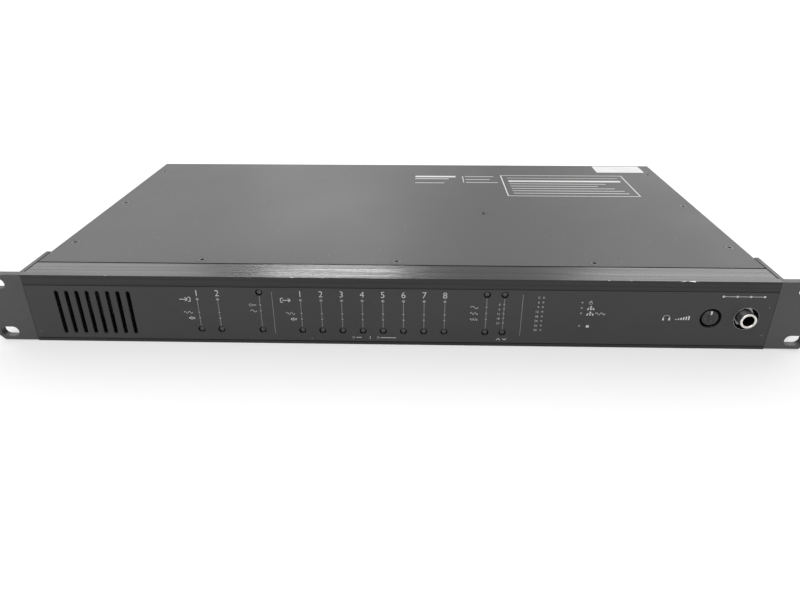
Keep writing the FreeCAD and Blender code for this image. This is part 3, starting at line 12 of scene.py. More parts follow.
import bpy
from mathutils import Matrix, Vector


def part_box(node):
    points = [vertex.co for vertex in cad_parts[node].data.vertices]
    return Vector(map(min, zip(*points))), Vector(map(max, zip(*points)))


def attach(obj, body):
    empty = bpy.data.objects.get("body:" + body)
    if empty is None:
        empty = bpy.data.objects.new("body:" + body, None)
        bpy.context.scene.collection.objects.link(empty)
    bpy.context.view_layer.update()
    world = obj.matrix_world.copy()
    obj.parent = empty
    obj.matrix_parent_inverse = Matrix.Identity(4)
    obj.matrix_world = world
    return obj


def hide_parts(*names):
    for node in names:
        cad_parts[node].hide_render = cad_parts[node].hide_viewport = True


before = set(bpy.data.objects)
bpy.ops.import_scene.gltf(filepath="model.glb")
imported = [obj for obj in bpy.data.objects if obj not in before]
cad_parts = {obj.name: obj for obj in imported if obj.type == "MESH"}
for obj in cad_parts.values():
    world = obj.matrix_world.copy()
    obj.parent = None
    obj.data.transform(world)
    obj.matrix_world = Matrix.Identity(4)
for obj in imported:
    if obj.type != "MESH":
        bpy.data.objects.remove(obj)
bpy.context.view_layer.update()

# %% Tools for the whole lesson
from math import atan2, cos, hypot, pi, radians, sin

import bmesh
import bpy
from mathutils import Matrix, Vector

MM = 0.001
scene = bpy.context.scene

# %% [markdown]
# ## Camera
#
# The camera stands a little above the unit and a little right of its middle, close enough that the ears reach
# both sides of the frame. Its three axes are written out and turned into one matrix, which is surer than
# stacking three angles.

# %% Camera
SENSOR, LENS = 36, 28.77  # width of the sensor and focal length, in mm
CAMERA_SPOT = (0.01219, -0.44732, 0.19848)
camera_data = bpy.data.cameras.new("camera")
camera_data.sensor_width = SENSOR
camera_data.lens = LENS
camera_data.clip_start = 0.01
camera = bpy.data.objects.new("camera", camera_data)
scene.collection.objects.link(camera)
scene.camera = camera

camera_right = Vector((0.99960, 0.02802, -0.00241))
camera_up = Vector((-0.01067, 0.45699, 0.88941))
camera_axes = Matrix((camera_right, camera_up, camera_right.cross(camera_up))).transposed()
camera.matrix_world = Matrix.Translation(CAMERA_SPOT) @ camera_axes.to_4x4()
print("camera at", [round(v, 3) for v in camera.matrix_world.translation])

# %% [markdown]
# ## Shader nodes by function
#
# A finish is a small tree of shader nodes. One helper adds a node and fills its sockets: a socket that is
# given another node's output is linked to it, and any other value is set on the socket itself. Three more give
# a sum or a product, a rescaled range and a mix of two colours, because masks need many of those.

# %% Helpers for shader trees
def add(tree, kind, sockets=(), **settings):
    """Adds a node with its settings, and links or fills the sockets that are named."""
    node = tree.nodes.new(kind)
    for name, value in settings.items():
        setattr(node, name, value)
    for key, value in dict(sockets).items():
        if isinstance(value, bpy.types.NodeSocket):
            tree.links.new(value, node.inputs[key])
        else:
            node.inputs[key].default_value = value
    return node


def maths(tree, operation, first, second=0.0):
    """One Math node; gives its output."""
    return add(tree, "ShaderNodeMath", {0: first, 1: second}, operation=operation).outputs[0]


def ramp(tree, value, low, high, to_low=0.0, to_high=1.0):
    """Rescales low..high to to_low..to_high, and stops at both ends."""
    return add(tree, "ShaderNodeMapRange", {"Value": value, "From Min": low, "From Max": high,
                                            "To Min": to_low, "To Max": to_high}).outputs["Result"]


def blend(tree, mask, first, second):
    """Mixes two colours by a mask. A Mix node's colours are its sockets 6 and 7, and its output 2."""
    return add(tree, "ShaderNodeMix", {0: mask, 6: first, 7: second}, data_type="RGBA").outputs[2]


# %% [markdown]
# ## Shared effects
#
# The same few effects come back in most finishes: fine grain, brushing, soft blotches from handling, dust
# specks and chipped edges. Each is built once as a node group with named sockets, and each finish gives it its
# own sizes. The groups put out only values, masks and normals, and they read Object coordinates, so a pattern
# stays on its piece when the piece moves.

# %% A group's frame
def new_group(name, inputs, outputs):
    """A node group with float inputs and the named outputs; gives its tree, its inputs and its place."""
    tree = bpy.data.node_groups.new(name, "ShaderNodeTree")
    for label, value in inputs.items():
        socket = tree.interface.new_socket(name=label, in_out="INPUT", socket_type="NodeSocketFloat")
        socket.default_value = value
    for label, kind in outputs.items():
        tree.interface.new_socket(name=label, in_out="OUTPUT", socket_type="NodeSocket" + kind)
    entry = tree.nodes.new("NodeGroupInput")
    place = add(tree, "ShaderNodeTexCoord").outputs["Object"]
    return tree, entry.outputs, place


def close_group(tree, results):
    """Links the results to the group's outputs."""
    add(tree, "NodeGroupOutput", results)
    return tree


# %% Fine grain, as on a powder coat or moulded plastic
tree, given, place = new_group("fine_grain", {"Scale": 1500.0, "Depth": 0.2},
                               {"Value": "Float", "Normal": "Vector"})
noise = add(tree, "ShaderNodeTexNoise", {"Vector": place, "Scale": given["Scale"], "Detail": 3.0,
                                         "Roughness": 0.55}).outputs[0]
bump = add(tree, "ShaderNodeBump", {"Strength": given["Depth"], "Distance": 0.05 * MM, "Height": noise})
fine_grain = close_group(tree, {"Value": noise, "Normal": bump.outputs[0]})

# %% Brushing along X, as on the front's aluminium
BRUSH_STRETCH = 0.007  # squeezes the noise along X, so that its spots become long strokes
tree, given, place = new_group("brushed", {"Scale": 1100.0, "Depth": 0.25},
                               {"Value": "Float", "Normal": "Vector"})
along = add(tree, "ShaderNodeMapping", {"Vector": place, "Scale": (BRUSH_STRETCH, 1, 1)}).outputs[0]
strokes = add(tree, "ShaderNodeTexNoise", {"Vector": along, "Scale": given["Scale"], "Detail": 3.0,
                                           "Roughness": 0.6}).outputs[0]
bump = add(tree, "ShaderNodeBump", {"Strength": given["Depth"], "Distance": 0.08 * MM, "Height": strokes})
brushed = close_group(tree, {"Value": strokes, "Normal": bump.outputs[0]})

# %% Soft blotches, as from hands and cloths
tree, given, place = new_group("blotches", {"Scale": 14.0, "Low": 0.4, "High": 0.65}, {"Mask": "Float"})
clouds = add(tree, "ShaderNodeTexNoise", {"Vector": place, "Scale": given["Scale"], "Detail": 5.0,
                                          "Roughness": 0.6, "Distortion": 0.4}).outputs[0]
blotches = close_group(tree, {"Mask": ramp(tree, clouds, given["Low"], given["High"])})

# %% Dust specks
tree, given, place = new_group("specks", {"Scale": 400.0, "Share": 0.06, "Radius": 0.25},
                               {"Mask": "Float"})
cells = add(tree, "ShaderNodeTexVoronoi", {"Vector": place, "Scale": given["Scale"]})
chosen = add(tree, "ShaderNodeSeparateColor", {0: cells.outputs["Color"]}).outputs[0]
few = maths(tree, "LESS_THAN", chosen, given["Share"])
core = maths(tree, "MULTIPLY", given["Radius"], 0.6)
dot = ramp(tree, cells.outputs["Distance"], given["Radius"], core)
specks = close_group(tree, {"Mask": maths(tree, "MULTIPLY", few, dot)})

# %% Chips along an edge that runs parallel to X
tree, given, place = new_group(
    "edge_chips", {"Edge Y": 0.0, "Edge Z": 0.0, "Reach": 0.5 * MM, "Scale": 60.0, "Cut": 0.6},
    {"Mask": "Float"})
parts = add(tree, "ShaderNodeSeparateXYZ", {0: place}).outputs
off_y = maths(tree, "SUBTRACT", parts["Y"], given["Edge Y"])
off_z = maths(tree, "SUBTRACT", parts["Z"], given["Edge Z"])
distance = maths(tree, "SQRT", maths(tree, "ADD", maths(tree, "MULTIPLY", off_y, off_y),
                                     maths(tree, "MULTIPLY", off_z, off_z)))
knocks = add(tree, "ShaderNodeTexNoise", {"Vector": place, "Scale": given["Scale"], "Detail": 6.0,
                                          "Roughness": 0.65}).outputs[0]
size = maths(tree, "MULTIPLY", ramp(tree, knocks, given["Cut"], 0.8), given["Reach"])
edge_chips = close_group(tree, {"Mask": maths(tree, "LESS_THAN", distance, size)})
print("effects:", sorted(g.name for g in bpy.data.node_groups))


# %% [markdown]
# ## A plain finish
#
# Most finishes here are one recipe with different values: two close colours that blotches mix, a roughness
# that the same blotches shift, and a grain that bumps the surface. A brushed finish drifts along its strokes
# and not in blotches. Constants such as metalness go straight on the Principled shader. Special finishes start
# from this one and lay more over it.

# %% The recipe
def grouped(tree, group, sockets=()):
    """Places a shared effect in a material."""
    node = add(tree, "ShaderNodeGroup", node_tree=group)
    for name, value in dict(sockets).items():
        node.inputs[name].default_value = value
    return node


def grey(level):
    """A neutral colour."""
    return (level, level, level, 1)


def new_finish(name, dark, light, rough, grain, depth, clouds=14.0, texture=fine_grain, **constants):
    """A finish whose colour and roughness drift a little, in blotches or along its brushing, under a grain."""
    material = bpy.data.materials.new(name)
    material.use_nodes = True
    tree = material.node_tree
    shader = tree.nodes["Principled BSDF"]
    surface = grouped(tree, texture, {"Scale": grain, "Depth": depth})
    if texture is brushed:
        patch = ramp(tree, surface.outputs["Value"], 0.36, 0.64)
    else:
        patch = grouped(tree, blotches, {"Scale": clouds}).outputs[0]
    shade = ramp(tree, maths(tree, "ADD", patch, surface.outputs["Value"]), 0.3, 1.3)
    tree.links.new(blend(tree, shade, dark, light), shader.inputs["Base Color"])
    tree.links.new(ramp(tree, patch, 0, 1, *rough), shader.inputs["Roughness"])
    tree.links.new(surface.outputs["Normal"], shader.inputs["Normal"])
    for socket, value in constants.items():
        shader.inputs[socket.replace("_", " ")].default_value = value
    return material


def beyond(tree, axis, start, end):
    """A mask that rises from 0 to 1 as the place goes from start to end along an axis."""
    place = add(tree, "ShaderNodeTexCoord").outputs["Object"]
    return ramp(tree, add(tree, "ShaderNodeSeparateXYZ", {0: place}).outputs[axis], start, end)


def lay_over(material, mask, colour, roughness=None, metallic=None):
    """Puts a colour, and where given a roughness and a metalness, over a finish where the mask is set."""
    tree = material.node_tree
    shader = tree.nodes["Principled BSDF"]
    below = shader.inputs["Base Color"].links[0].from_socket
    tree.links.new(blend(tree, mask, below, colour), shader.inputs["Base Color"])
    if roughness is not None:
        below = shader.inputs["Roughness"].links[0].from_socket
        mix = add(tree, "ShaderNodeMix", {0: mask, 2: below, 3: roughness})
        tree.links.new(mix.outputs[0], shader.inputs["Roughness"])
    if metallic is not None:
        tree.links.new(maths(tree, "MULTIPLY", mask, metallic), shader.inputs["Metallic"])


# %% [markdown]
# ## The finishes
#
# The case is folded steel under a fine powder coat. Years in a rack leave it with faint wiped patches and a
# little dust, which lie over the coat and never cover it. The front is extruded aluminium, brushed along its
# length and anodised black, so its strokes catch light as long streaks, and knocks on its top edge show bare
# metal.

# %% The case's powder coat
WIPES_START, WIPES_FULL = -0.02, 0.10  # the wiped patches fade in between these places along Y
SEAM_CLEAR, SEAM_DARK = 0.5 * MM, 0.35 * MM  # painted shade: the cover's front edge by the seam darkens between these, behind the cover's front
powder_coat = new_finish("powder_coat", grey(0.042), grey(0.052), (0.51, 0.57), 1900, 0.35, clouds=9,
                         Specular_IOR_Level=0.6)
tree = powder_coat.node_tree
dust = grouped(tree, specks, {"Scale": 260, "Share": 0.045, "Radius": 0.16}).outputs[0]
lay_over(powder_coat, dust, grey(0.20), roughness=0.8)
wiped = grouped(tree, blotches, {"Scale": 16, "Low": 0.48, "High": 0.62}).outputs[0]
wiped = maths(tree, "MULTIPLY", wiped, beyond(tree, "Y", WIPES_START, WIPES_FULL))
lay_over(powder_coat, maths(tree, "MULTIPLY", wiped, 0.55), grey(0.085), roughness=0.62)
# Painted shade: the cover's front edge is painted near black where the lip's seam shades it.
seam_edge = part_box("top_cover")[0].y
seam_painted_shade = beyond(tree, "Y", seam_edge + SEAM_CLEAR, seam_edge + SEAM_DARK)
lay_over(powder_coat, seam_painted_shade, grey(0.002), roughness=0.9)

# %% The front's black anodising
front_low, front_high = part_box("front_bezel")
TOP_EDGE = {"Edge Y": front_low.y, "Edge Z": front_high.z}
CHIP_REACH = 0.9 * MM
KNOCK_LEFT, KNOCK_RIGHT, KNOCK_FADE = 0.160, 0.170, 0.002  # one hard knock, near the edge's right end
black_anodised = new_finish("black_anodised", grey(0.010), grey(0.022), (0.18, 0.36), 600, 1.0,
                            texture=brushed, Specular_IOR_Level=0.35)
tree = black_anodised.node_tree
chips = grouped(tree, edge_chips, {**TOP_EDGE, "Reach": CHIP_REACH, "Scale": 70, "Cut": 0.62}).outputs[0]
knock = grouped(tree, edge_chips, {**TOP_EDGE, "Reach": CHIP_REACH, "Scale": 420, "Cut": 0.40}).outputs[0]
stretch = maths(tree, "MULTIPLY", beyond(tree, "X", KNOCK_LEFT, KNOCK_LEFT + KNOCK_FADE),
                beyond(tree, "X", KNOCK_RIGHT, KNOCK_RIGHT - KNOCK_FADE))
chips = maths(tree, "MAXIMUM", chips, maths(tree, "MULTIPLY", knock, stretch))
lay_over(black_anodised, chips, grey(0.72), roughness=0.3, metallic=1.0)

# %% The other finishes of the front
overlay_film = new_finish("overlay_film", grey(0.038), grey(0.046), (0.50, 0.60), 2600, 0.15, clouds=16,
                          Specular_IOR_Level=0.35)
tree = overlay_film.node_tree
lay_over(overlay_film, grouped(tree, specks, {"Scale": 300, "Share": 0.02, "Radius": 0.12}).outputs[0],
         grey(0.25))
ear_coat = new_finish("ear_coat", grey(0.054), grey(0.070), (0.42, 0.55), 1600, 0.3, clouds=22,
                      Specular_IOR_Level=0.4)
tree = ear_coat.node_tree
chips = grouped(tree, edge_chips, {**TOP_EDGE, "Reach": 0.6 * MM, "Scale": 90, "Cut": 0.58}).outputs[0]
lay_over(ear_coat, chips, grey(0.55), roughness=0.35, metallic=1.0)
white_ink = new_finish("white_ink", grey(0.62), grey(0.74), (0.5, 0.6), 3000, 0.1)
grey_ink = new_finish("grey_ink", grey(0.20), grey(0.26), (0.5, 0.6), 3000, 0.1)
knob_plastic = new_finish("knob_plastic", grey(0.014), grey(0.024), (0.24, 0.34), 2400, 0.15)
button_plastic = new_finish("button_plastic", grey(0.045), grey(0.062), (0.4, 0.5), 2400, 0.2)
lens_resin = new_finish("lens_resin", grey(0.22), grey(0.30), (0.3, 0.4), 2000, 0.1)
nickel = new_finish("nickel", (0.66, 0.64, 0.60, 1), (0.80, 0.78, 0.74, 1), (0.16, 0.28), 900, 0.08,
                    clouds=120, Metallic=1.0)
# Painted shade: nickel darkened for the nut in the shade of the socket's hole; the hole's edge ring uses it
# too.
shaded_nickel = new_finish("shaded_nickel", grey(0.26), grey(0.38), (0.30, 0.44), 900, 0.15, clouds=120,
                         Metallic=1.0)
label_paper = new_finish("label_paper", grey(0.70), grey(0.80), (0.45, 0.6), 500, 0.2, clouds=60)

# %% The finishes behind and inside
zinc_steel = new_finish("zinc_steel", grey(0.42), grey(0.60), (0.30, 0.45), 1200, 0.15, clouds=60,
                        Metallic=1.0)
black_screw = new_finish("black_screw", grey(0.040), grey(0.060), (0.35, 0.45), 1500, 0.2, clouds=80,
                         Specular_IOR_Level=0.6)
cover_screw = black_screw.copy()
cover_screw.name = "cover_screw"
# Painted shade: each head's slot is painted near black below the head's top.
head_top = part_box("cover_screws")[1].z
recess_painted_shade = beyond(cover_screw.node_tree, "Z", head_top - 0.10 * MM, head_top - 0.25 * MM)
lay_over(cover_screw, recess_painted_shade, grey(0.002), roughness=0.9)
dark_plastic = new_finish("dark_plastic", grey(0.014), grey(0.022), (0.45, 0.6), 1800, 0.3)
brass = new_finish("brass", (0.62, 0.42, 0.17, 1), (0.78, 0.56, 0.26, 1), (0.22, 0.35), 900, 0.1,
                   clouds=90, Metallic=1.0)
gold_contact = new_finish("gold_contact", (0.75, 0.50, 0.18, 1), (0.9, 0.66, 0.28, 1), (0.18, 0.3), 900,
                          0.05, clouds=200, Metallic=1.0)
circuit_board = new_finish("circuit_board", (0.010, 0.085, 0.035, 1), (0.020, 0.14, 0.06, 1), (0.25, 0.4),
                           700, 0.2, clouds=70)
lamp_chip = new_finish("lamp_chip", (0.60, 0.56, 0.35, 1), (0.78, 0.74, 0.52, 1), (0.3, 0.4), 1500, 0.1)
green_plastic = new_finish("green_plastic", (0.018, 0.13, 0.045, 1), (0.028, 0.18, 0.065, 1), (0.4, 0.5),
                           1800, 0.2)
iron_core = new_finish("iron_core", grey(0.13), grey(0.22), (0.4, 0.55), 1100, 0.4, Metallic=0.7)
can_sleeve = new_finish("can_sleeve", (0.02, 0.025, 0.06, 1), (0.035, 0.045, 0.10, 1), (0.25, 0.35), 900,
                        0.1)
cable_grey = new_finish("cable_grey", grey(0.24), grey(0.32), (0.5, 0.6), 1500, 0.2)
lead_jacket = new_finish("lead_jacket", grey(0.025), grey(0.04), (0.5, 0.65), 1500, 0.2)
print("finishes:", len(bpy.data.materials))

# %% [markdown]
# ## Dressing the CAD nodes
#
# Most pieces keep their CAD shape and only get a finish, which one table gives. The buttons are many and alike,
# so they are found by their names. The finish goes into every material slot of the node, so nothing keeps the
# plain colour that came with the model.

# %% Finish of each CAD node
BUTTONS = sorted(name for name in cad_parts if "_button" in name)
NODE_FINISH = {
    powder_coat: ["chassis_pan", "top_cover", "rear_panel", "front_subpanel"],
    black_anodised: ["front_bezel"],
    overlay_film: ["front_overlay"],
    ear_coat: ["rack_ear_left", "rack_ear_right"],
    zinc_steel: ["board_screws", "fan_screws", "bezel_screws"],
    cover_screw: ["cover_screws"],
    black_screw: ["ear_screws", "rear_panel_screws"],
    brass: ["board_standoffs", "front_board_spacers", "inlet_blades"],
    nickel: ["headphone_jack_bushing", "headphone_jack_nut", "volume_pot_sleeve", "ethernet_jacks",
             "header_pins"],
    dark_plastic: ["headphone_jack_body", "volume_pot_body", "tact_switches", "main_board_chips",
                   "supply_terminal_block", "fan_frame", "fan_rotor", "mains_inlet",
                   "power_switch_frame", "power_rocker"],
    knob_plastic: ["headphone_knob"],
    lens_resin: ["channel_lenses", "small_lenses"],
    circuit_board: ["front_board", "main_board", "power_supply_board"],
    lamp_chip: ["front_board_leds"],
    green_plastic: ["terminal_headers"],
    iron_core: ["supply_transformer"],
    can_sleeve: ["supply_capacitors"],
    cable_grey: ["ribbon_cable"],
    lead_jacket: ["mains_leads"],
    button_plastic: BUTTONS,
}


def dress(node, finish):
    """Puts a finish into every material slot of a CAD node."""
    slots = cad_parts[node].data.materials
    if not slots:
        slots.append(finish)
    for index in range(len(slots)):
        slots[index] = finish


for finish, names in NODE_FINISH.items():
    for name in names:
        dress(name, finish)
dressed = {name for names in NODE_FINISH.values() for name in names}
print("nodes without a finish:", sorted(set(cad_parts) - dressed))

# %% [markdown]
# ## Making a piece
#
# Every new piece ends the same way: its bmesh becomes a mesh, the mesh gets its finish, and the object rides on
# a CAD body. Curved faces are shaded smooth and edges sharper than a given angle stay sharp.

# %% Finishing helpers
def make_piece(name, shape, finish, body="unit", replaces=(), smooth=35):
    """Turns a bmesh into an object at the origin that rides on a body."""
    mesh = bpy.data.meshes.new(name)
    shape.to_mesh(mesh)
    shape.free()
    mesh.materials.append(finish)
    mesh.shade_smooth()
    mesh.set_sharp_from_angle(angle=radians(smooth))
    piece = bpy.data.objects.new(name, mesh)
    scene.collection.objects.link(piece)
    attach(piece, body)
    if replaces:
        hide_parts(*replaces)
    return piece


def spun(profile, centre, steps):
    """A turned shape: a profile of (radius, y) points, spun round the line through centre along Y."""
    shape = bmesh.new()
    points = [shape.verts.new((centre.x + radius, y, centre.z)) for radius, y in profile]
    edges = [shape.edges.new(pair) for pair in zip(points, points[1:])]
    bmesh.ops.spin(shape, geom=points + edges, cent=centre, axis=(0, 1, 0), angle=2 * pi, steps=steps,
                   use_merge=True)
    bmesh.ops.remove_doubles(shape, verts=shape.verts, dist=0.001 * MM)
    bmesh.ops.recalc_face_normals(shape, faces=shape.faces)
    return shape


# %% [markdown]
# ## Softened edges
#
# CAD edges are perfectly sharp, and no made thing is. A coated or anodised edge is rounded by a few tenths of a
# millimetre, and that line of light is what makes sheet metal look real. A CAD node's mesh is never changed, so
# each softened piece starts as a merged copy of it, which then stands for the node. Only edges that are sharp
# and longer than a small limit are rounded, because the facets of small holes have no room for it.

# %% Softened copies
SHARP_TURN = radians(40)  # an edge that turns the surface by more than this is sharp
FLAT_TURN = radians(0.5)  # faces that turn by less than this are joined into one


def softened(node, finish, width, body="unit", shortest=2.0 * MM, segments=2):
    """A copy of a CAD node with its long sharp edges rounded."""
    shape = bmesh.new()
    shape.from_mesh(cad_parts[node].data)
    bmesh.ops.remove_doubles(shape, verts=shape.verts, dist=0.002 * MM)
    bmesh.ops.dissolve_limit(shape, angle_limit=FLAT_TURN, verts=shape.verts, edges=shape.edges)
    sharp = [e for e in shape.edges if len(e.link_faces) == 2 and e.calc_length() > shortest
             and e.calc_face_angle(0) > SHARP_TURN]
    bmesh.ops.bevel(shape, geom=sharp, offset=width, segments=segments, affect="EDGES", profile=0.5,
                    material=-1, clamp_overlap=True)
    bmesh.ops.triangulate(shape, faces=[f for f in shape.faces if len(f.verts) > 4])
    piece = make_piece(node + "_soft", shape, finish, body, [node], smooth=50)
    weighted = piece.modifiers.new("flat faces stay flat", "WEIGHTED_NORMAL")
    weighted.keep_sharp = True
    print(piece.name, len(piece.data.polygons), "faces")


for node, finish, slot, width in (
        ("rack_ear_left", ear_coat, "coated_ear", 0.35 * MM),
        ("rack_ear_right", ear_coat, "coated_ear", 0.35 * MM),
        ("front_bezel", black_anodised, "black_anodised", 0.18 * MM),
        ("top_cover", powder_coat, "coated_steel", 0.2 * MM)):
    softened(node, finish, width)

# %% [markdown]
# ## Buttons
#
# Each button is a small turned plastic cap, slightly domed, with a flange behind the panel and a stem into its
# key switch. All sixteen have one profile, so one function turns them. Each is placed by its own node's box
# and rides on its own body.

# %% Push buttons
CAP_RADIUS = 1.5 * MM
FLANGE_RADIUS = 2.8 * MM
CAP_LONG = 2.5 * MM
FLANGE_THICK = 1.0 * MM
CAP_ROUND = 0.35 * MM
CAP_DOME = 0.08 * MM


def button_profile(radius, front, back):
    """Cap with a domed, rounded front, then flange and stem."""
    flat = radius - CAP_ROUND
    dome = [(flat * step / 4, front + CAP_DOME * (step / 4) ** 2) for step in range(5)]
    edge = [(flat + CAP_ROUND * sin(turn), front + CAP_DOME + CAP_ROUND * (1 - cos(turn)))
            for turn in (radians(22), radians(45), radians(68), radians(90))]
    shoulder = front + CAP_LONG
    flange = shoulder + FLANGE_THICK
    rest = [(radius, shoulder), (FLANGE_RADIUS, shoulder), (FLANGE_RADIUS, flange),
            (radius, flange), (radius, back), (0, back)]
    return dome + edge + rest


for name in BUTTONS:
    low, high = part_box(name)
    centre = (low + high) / 2
    shape = spun(button_profile(CAP_RADIUS, low.y, high.y), centre, steps=32)
    make_piece(name + "_cap", shape, button_plastic, name, [name])

# %% [markdown]
# ## Volume knob
#
# The knob sits flush in its hole and pops out to be turned. Its face is gently domed with a finger dimple in
# the middle, a white line shows where it points, and fine ribs on its side give grip when it is out. The ribs
# are made by pulling in every other column of the turned side by a little.

# %% Knob with ribs
low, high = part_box("headphone_knob")
knob_centre = (low + high) / 2
KNOB_RADIUS = (high.x - low.x) / 2
KNOB_STEPS = 72
DOME = 0.25 * MM
RIM = 1.1 * MM
DIMPLE_DEEP, DIMPLE_SHARE = 1.4 * MM, 0.62
SIDE_END = 3.0 * MM
RIB_SHARE = 0.035  # how far a column is pulled in, as a share of the knob's radius


def knob_face(radius):
    """Depth of the knob's face behind its front, at a radius: a dome, a dimple and a rounded rim."""
    share = radius / KNOB_RADIUS
    dimple = DIMPLE_DEEP * max(0.0, 1 - (share / DIMPLE_SHARE) ** 2) ** 1.5
    over = max(0.0, radius - (KNOB_RADIUS - RIM)) / RIM
    return DOME * share ** 2 + dimple + RIM * (1 - (max(0.0, 1 - over ** 2)) ** 0.5)


radii = [KNOB_RADIUS * 0.08 * step for step in range(10)]
radii += [KNOB_RADIUS - RIM + RIM * sin(radians(turn)) for turn in (0, 15, 30, 45, 60, 75)]
face = [(radius, low.y + knob_face(radius)) for radius in radii]
side = [(KNOB_RADIUS, low.y + DOME + RIM), (KNOB_RADIUS, low.y + SIDE_END), (KNOB_RADIUS, high.y),
        (0, high.y)]
shape = spun(face + side, knob_centre, steps=KNOB_STEPS)
for vert in shape.verts:
    arm = vert.co - knob_centre
    turn = round(atan2(arm.z, arm.x) / (2 * pi) * KNOB_STEPS)
    if hypot(arm.x, arm.z) > KNOB_RADIUS * 0.995 and turn % 2:
        vert.co -= Vector((arm.x, 0, arm.z)) * RIB_SHARE
make_piece("volume_knob", shape, knob_plastic, "headphone_knob", ["headphone_knob"],
           smooth=30)

# %% White line on the knob
POINTER_START, POINTER_END, POINTER_WIDE = 1.9 * MM, 4.5 * MM, 0.9 * MM
POINTER_PROUD, POINTER_THICK = 0.03 * MM, 0.04 * MM
shape = bmesh.new()
bmesh.ops.create_grid(shape, x_segments=2, y_segments=12, size=0.5)
for vert in shape.verts:
    reach = POINTER_START + (vert.co.y + 0.5) * (POINTER_END - POINTER_START)
    across = vert.co.x * POINTER_WIDE
    depth = knob_face(hypot(reach, across)) - POINTER_PROUD
    vert.co = Vector((knob_centre.x + across, low.y + depth, knob_centre.z + reach))
bmesh.ops.recalc_face_normals(shape, faces=shape.faces)
bmesh.ops.solidify(shape, geom=shape.faces[:], thickness=POINTER_THICK)
bmesh.ops.recalc_face_normals(shape, faces=shape.faces)
make_piece("knob_line", shape, white_ink, "headphone_knob")
print("knob radius in mm:", round(KNOB_RADIUS / MM, 2))

# %% [markdown]
# ## Headphone socket
#
# The socket's bushing is a threaded brass tube, nickel plated. The thread shows between the nut and the front
# rim, so the profile has a small tooth for each turn. A real thread climbs, but at half a millimetre a turn
# rings look the same and spin in one go. The bore is open, and the socket's dark body stands behind it. The
# edge of the panel's hole catches light, so it is a thin bright ring of its own.

# %% Threaded bushing
low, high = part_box("headphone_jack_bushing")
socket_centre = (low + high) / 2
BUSH_RADIUS = 4.75 * MM
BORE, BORE_DEEP = 3.2 * MM, 9.0 * MM
THREAD, TOOTH = 0.5 * MM, 0.26 * MM
RIM_MIDDLE = (BORE + BUSH_RADIUS) / 2
RIM_HALF = (BUSH_RADIUS - BORE) / 2
rim = [(BORE, low.y + BORE_DEEP)]
for turn in range(0, 161, 20):
    rim.append((RIM_MIDDLE - RIM_HALF * cos(radians(turn)),
                low.y + RIM_HALF * 0.8 * (1 - sin(radians(turn)))))
teeth = []
nut_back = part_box("headphone_jack_nut")[1].y
turns = int((nut_back - low.y - 0.8 * MM) / THREAD)
for turn in range(turns):
    start = low.y + 0.7 * MM + turn * THREAD
    teeth += [(BUSH_RADIUS, start), (BUSH_RADIUS, start + 0.08 * MM),
              (BUSH_RADIUS - TOOTH, start + 0.25 * MM)]
tail = [(BUSH_RADIUS, teeth[-1][1] + 0.2 * MM), (BUSH_RADIUS, high.y), (BORE, high.y),
        (BORE, low.y + BORE_DEEP)]
shape = spun(rim + teeth + tail, socket_centre, steps=64)
plated = nickel.copy()
plated.name = "nickel_thread"
# Painted shade: the thread behind the front rim is painted dark, as it lies in the hole's shade.
painted_thread_shade = beyond(plated.node_tree, "Y", low.y + 0.4 * MM, low.y + 0.9 * MM)
lay_over(plated, painted_thread_shade, grey(0.06), roughness=0.4)
make_piece("socket_bushing", shape, plated, "unit", ["headphone_jack_bushing"], smooth=30)
print("thread turns:", turns)

# %% Nut with softened corners
# The nut's shaded nickel is painted shade.
softened("headphone_jack_nut", shaded_nickel, 0.18 * MM, shortest=1.5 * MM)

# %% Bright edge of the socket's hole
HOLE = 7.0 * MM
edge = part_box("front_overlay")[0].y
ring = [(HOLE, edge + 0.4 * MM), (HOLE, edge + 0.05 * MM), (HOLE + 0.06 * MM, edge - 0.03 * MM),
        (HOLE + 0.18 * MM, edge - 0.03 * MM), (HOLE + 0.24 * MM, edge + 0.02 * MM)]
make_piece("socket_hole_edge", spun(ring + ring[:1], socket_centre, steps=96), shaded_nickel, "unit")
print("hole across in mm:", round(2 * HOLE / MM, 1))

# %% [markdown]
# ## Network sockets
#
# A network socket is a plated shell round a dark plastic block. The plate only shows on the face, so the
# finish turns to dark plastic just behind it. Eight springy gold wires slant down from the mouth's ceiling,
# and two small lamp windows sit above it. Each wire is a short run of thin bars, which is all that its size
# lets one see.

# %% Shells, windows and wires
low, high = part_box("ethernet_jacks")
PLATE_END, PLASTIC_START = high.y - 0.2 * MM, high.y - 0.4 * MM
socket_shell = nickel.copy()
socket_shell.name = "socket_shell"
tree = socket_shell.node_tree
lay_over(socket_shell, beyond(tree, "Y", PLATE_END, PLASTIC_START), grey(0.012), roughness=0.5)
tree.links.new(beyond(tree, "Y", PLASTIC_START, PLATE_END), tree.nodes["Principled BSDF"].inputs["Metallic"])
dress("ethernet_jacks", socket_shell)

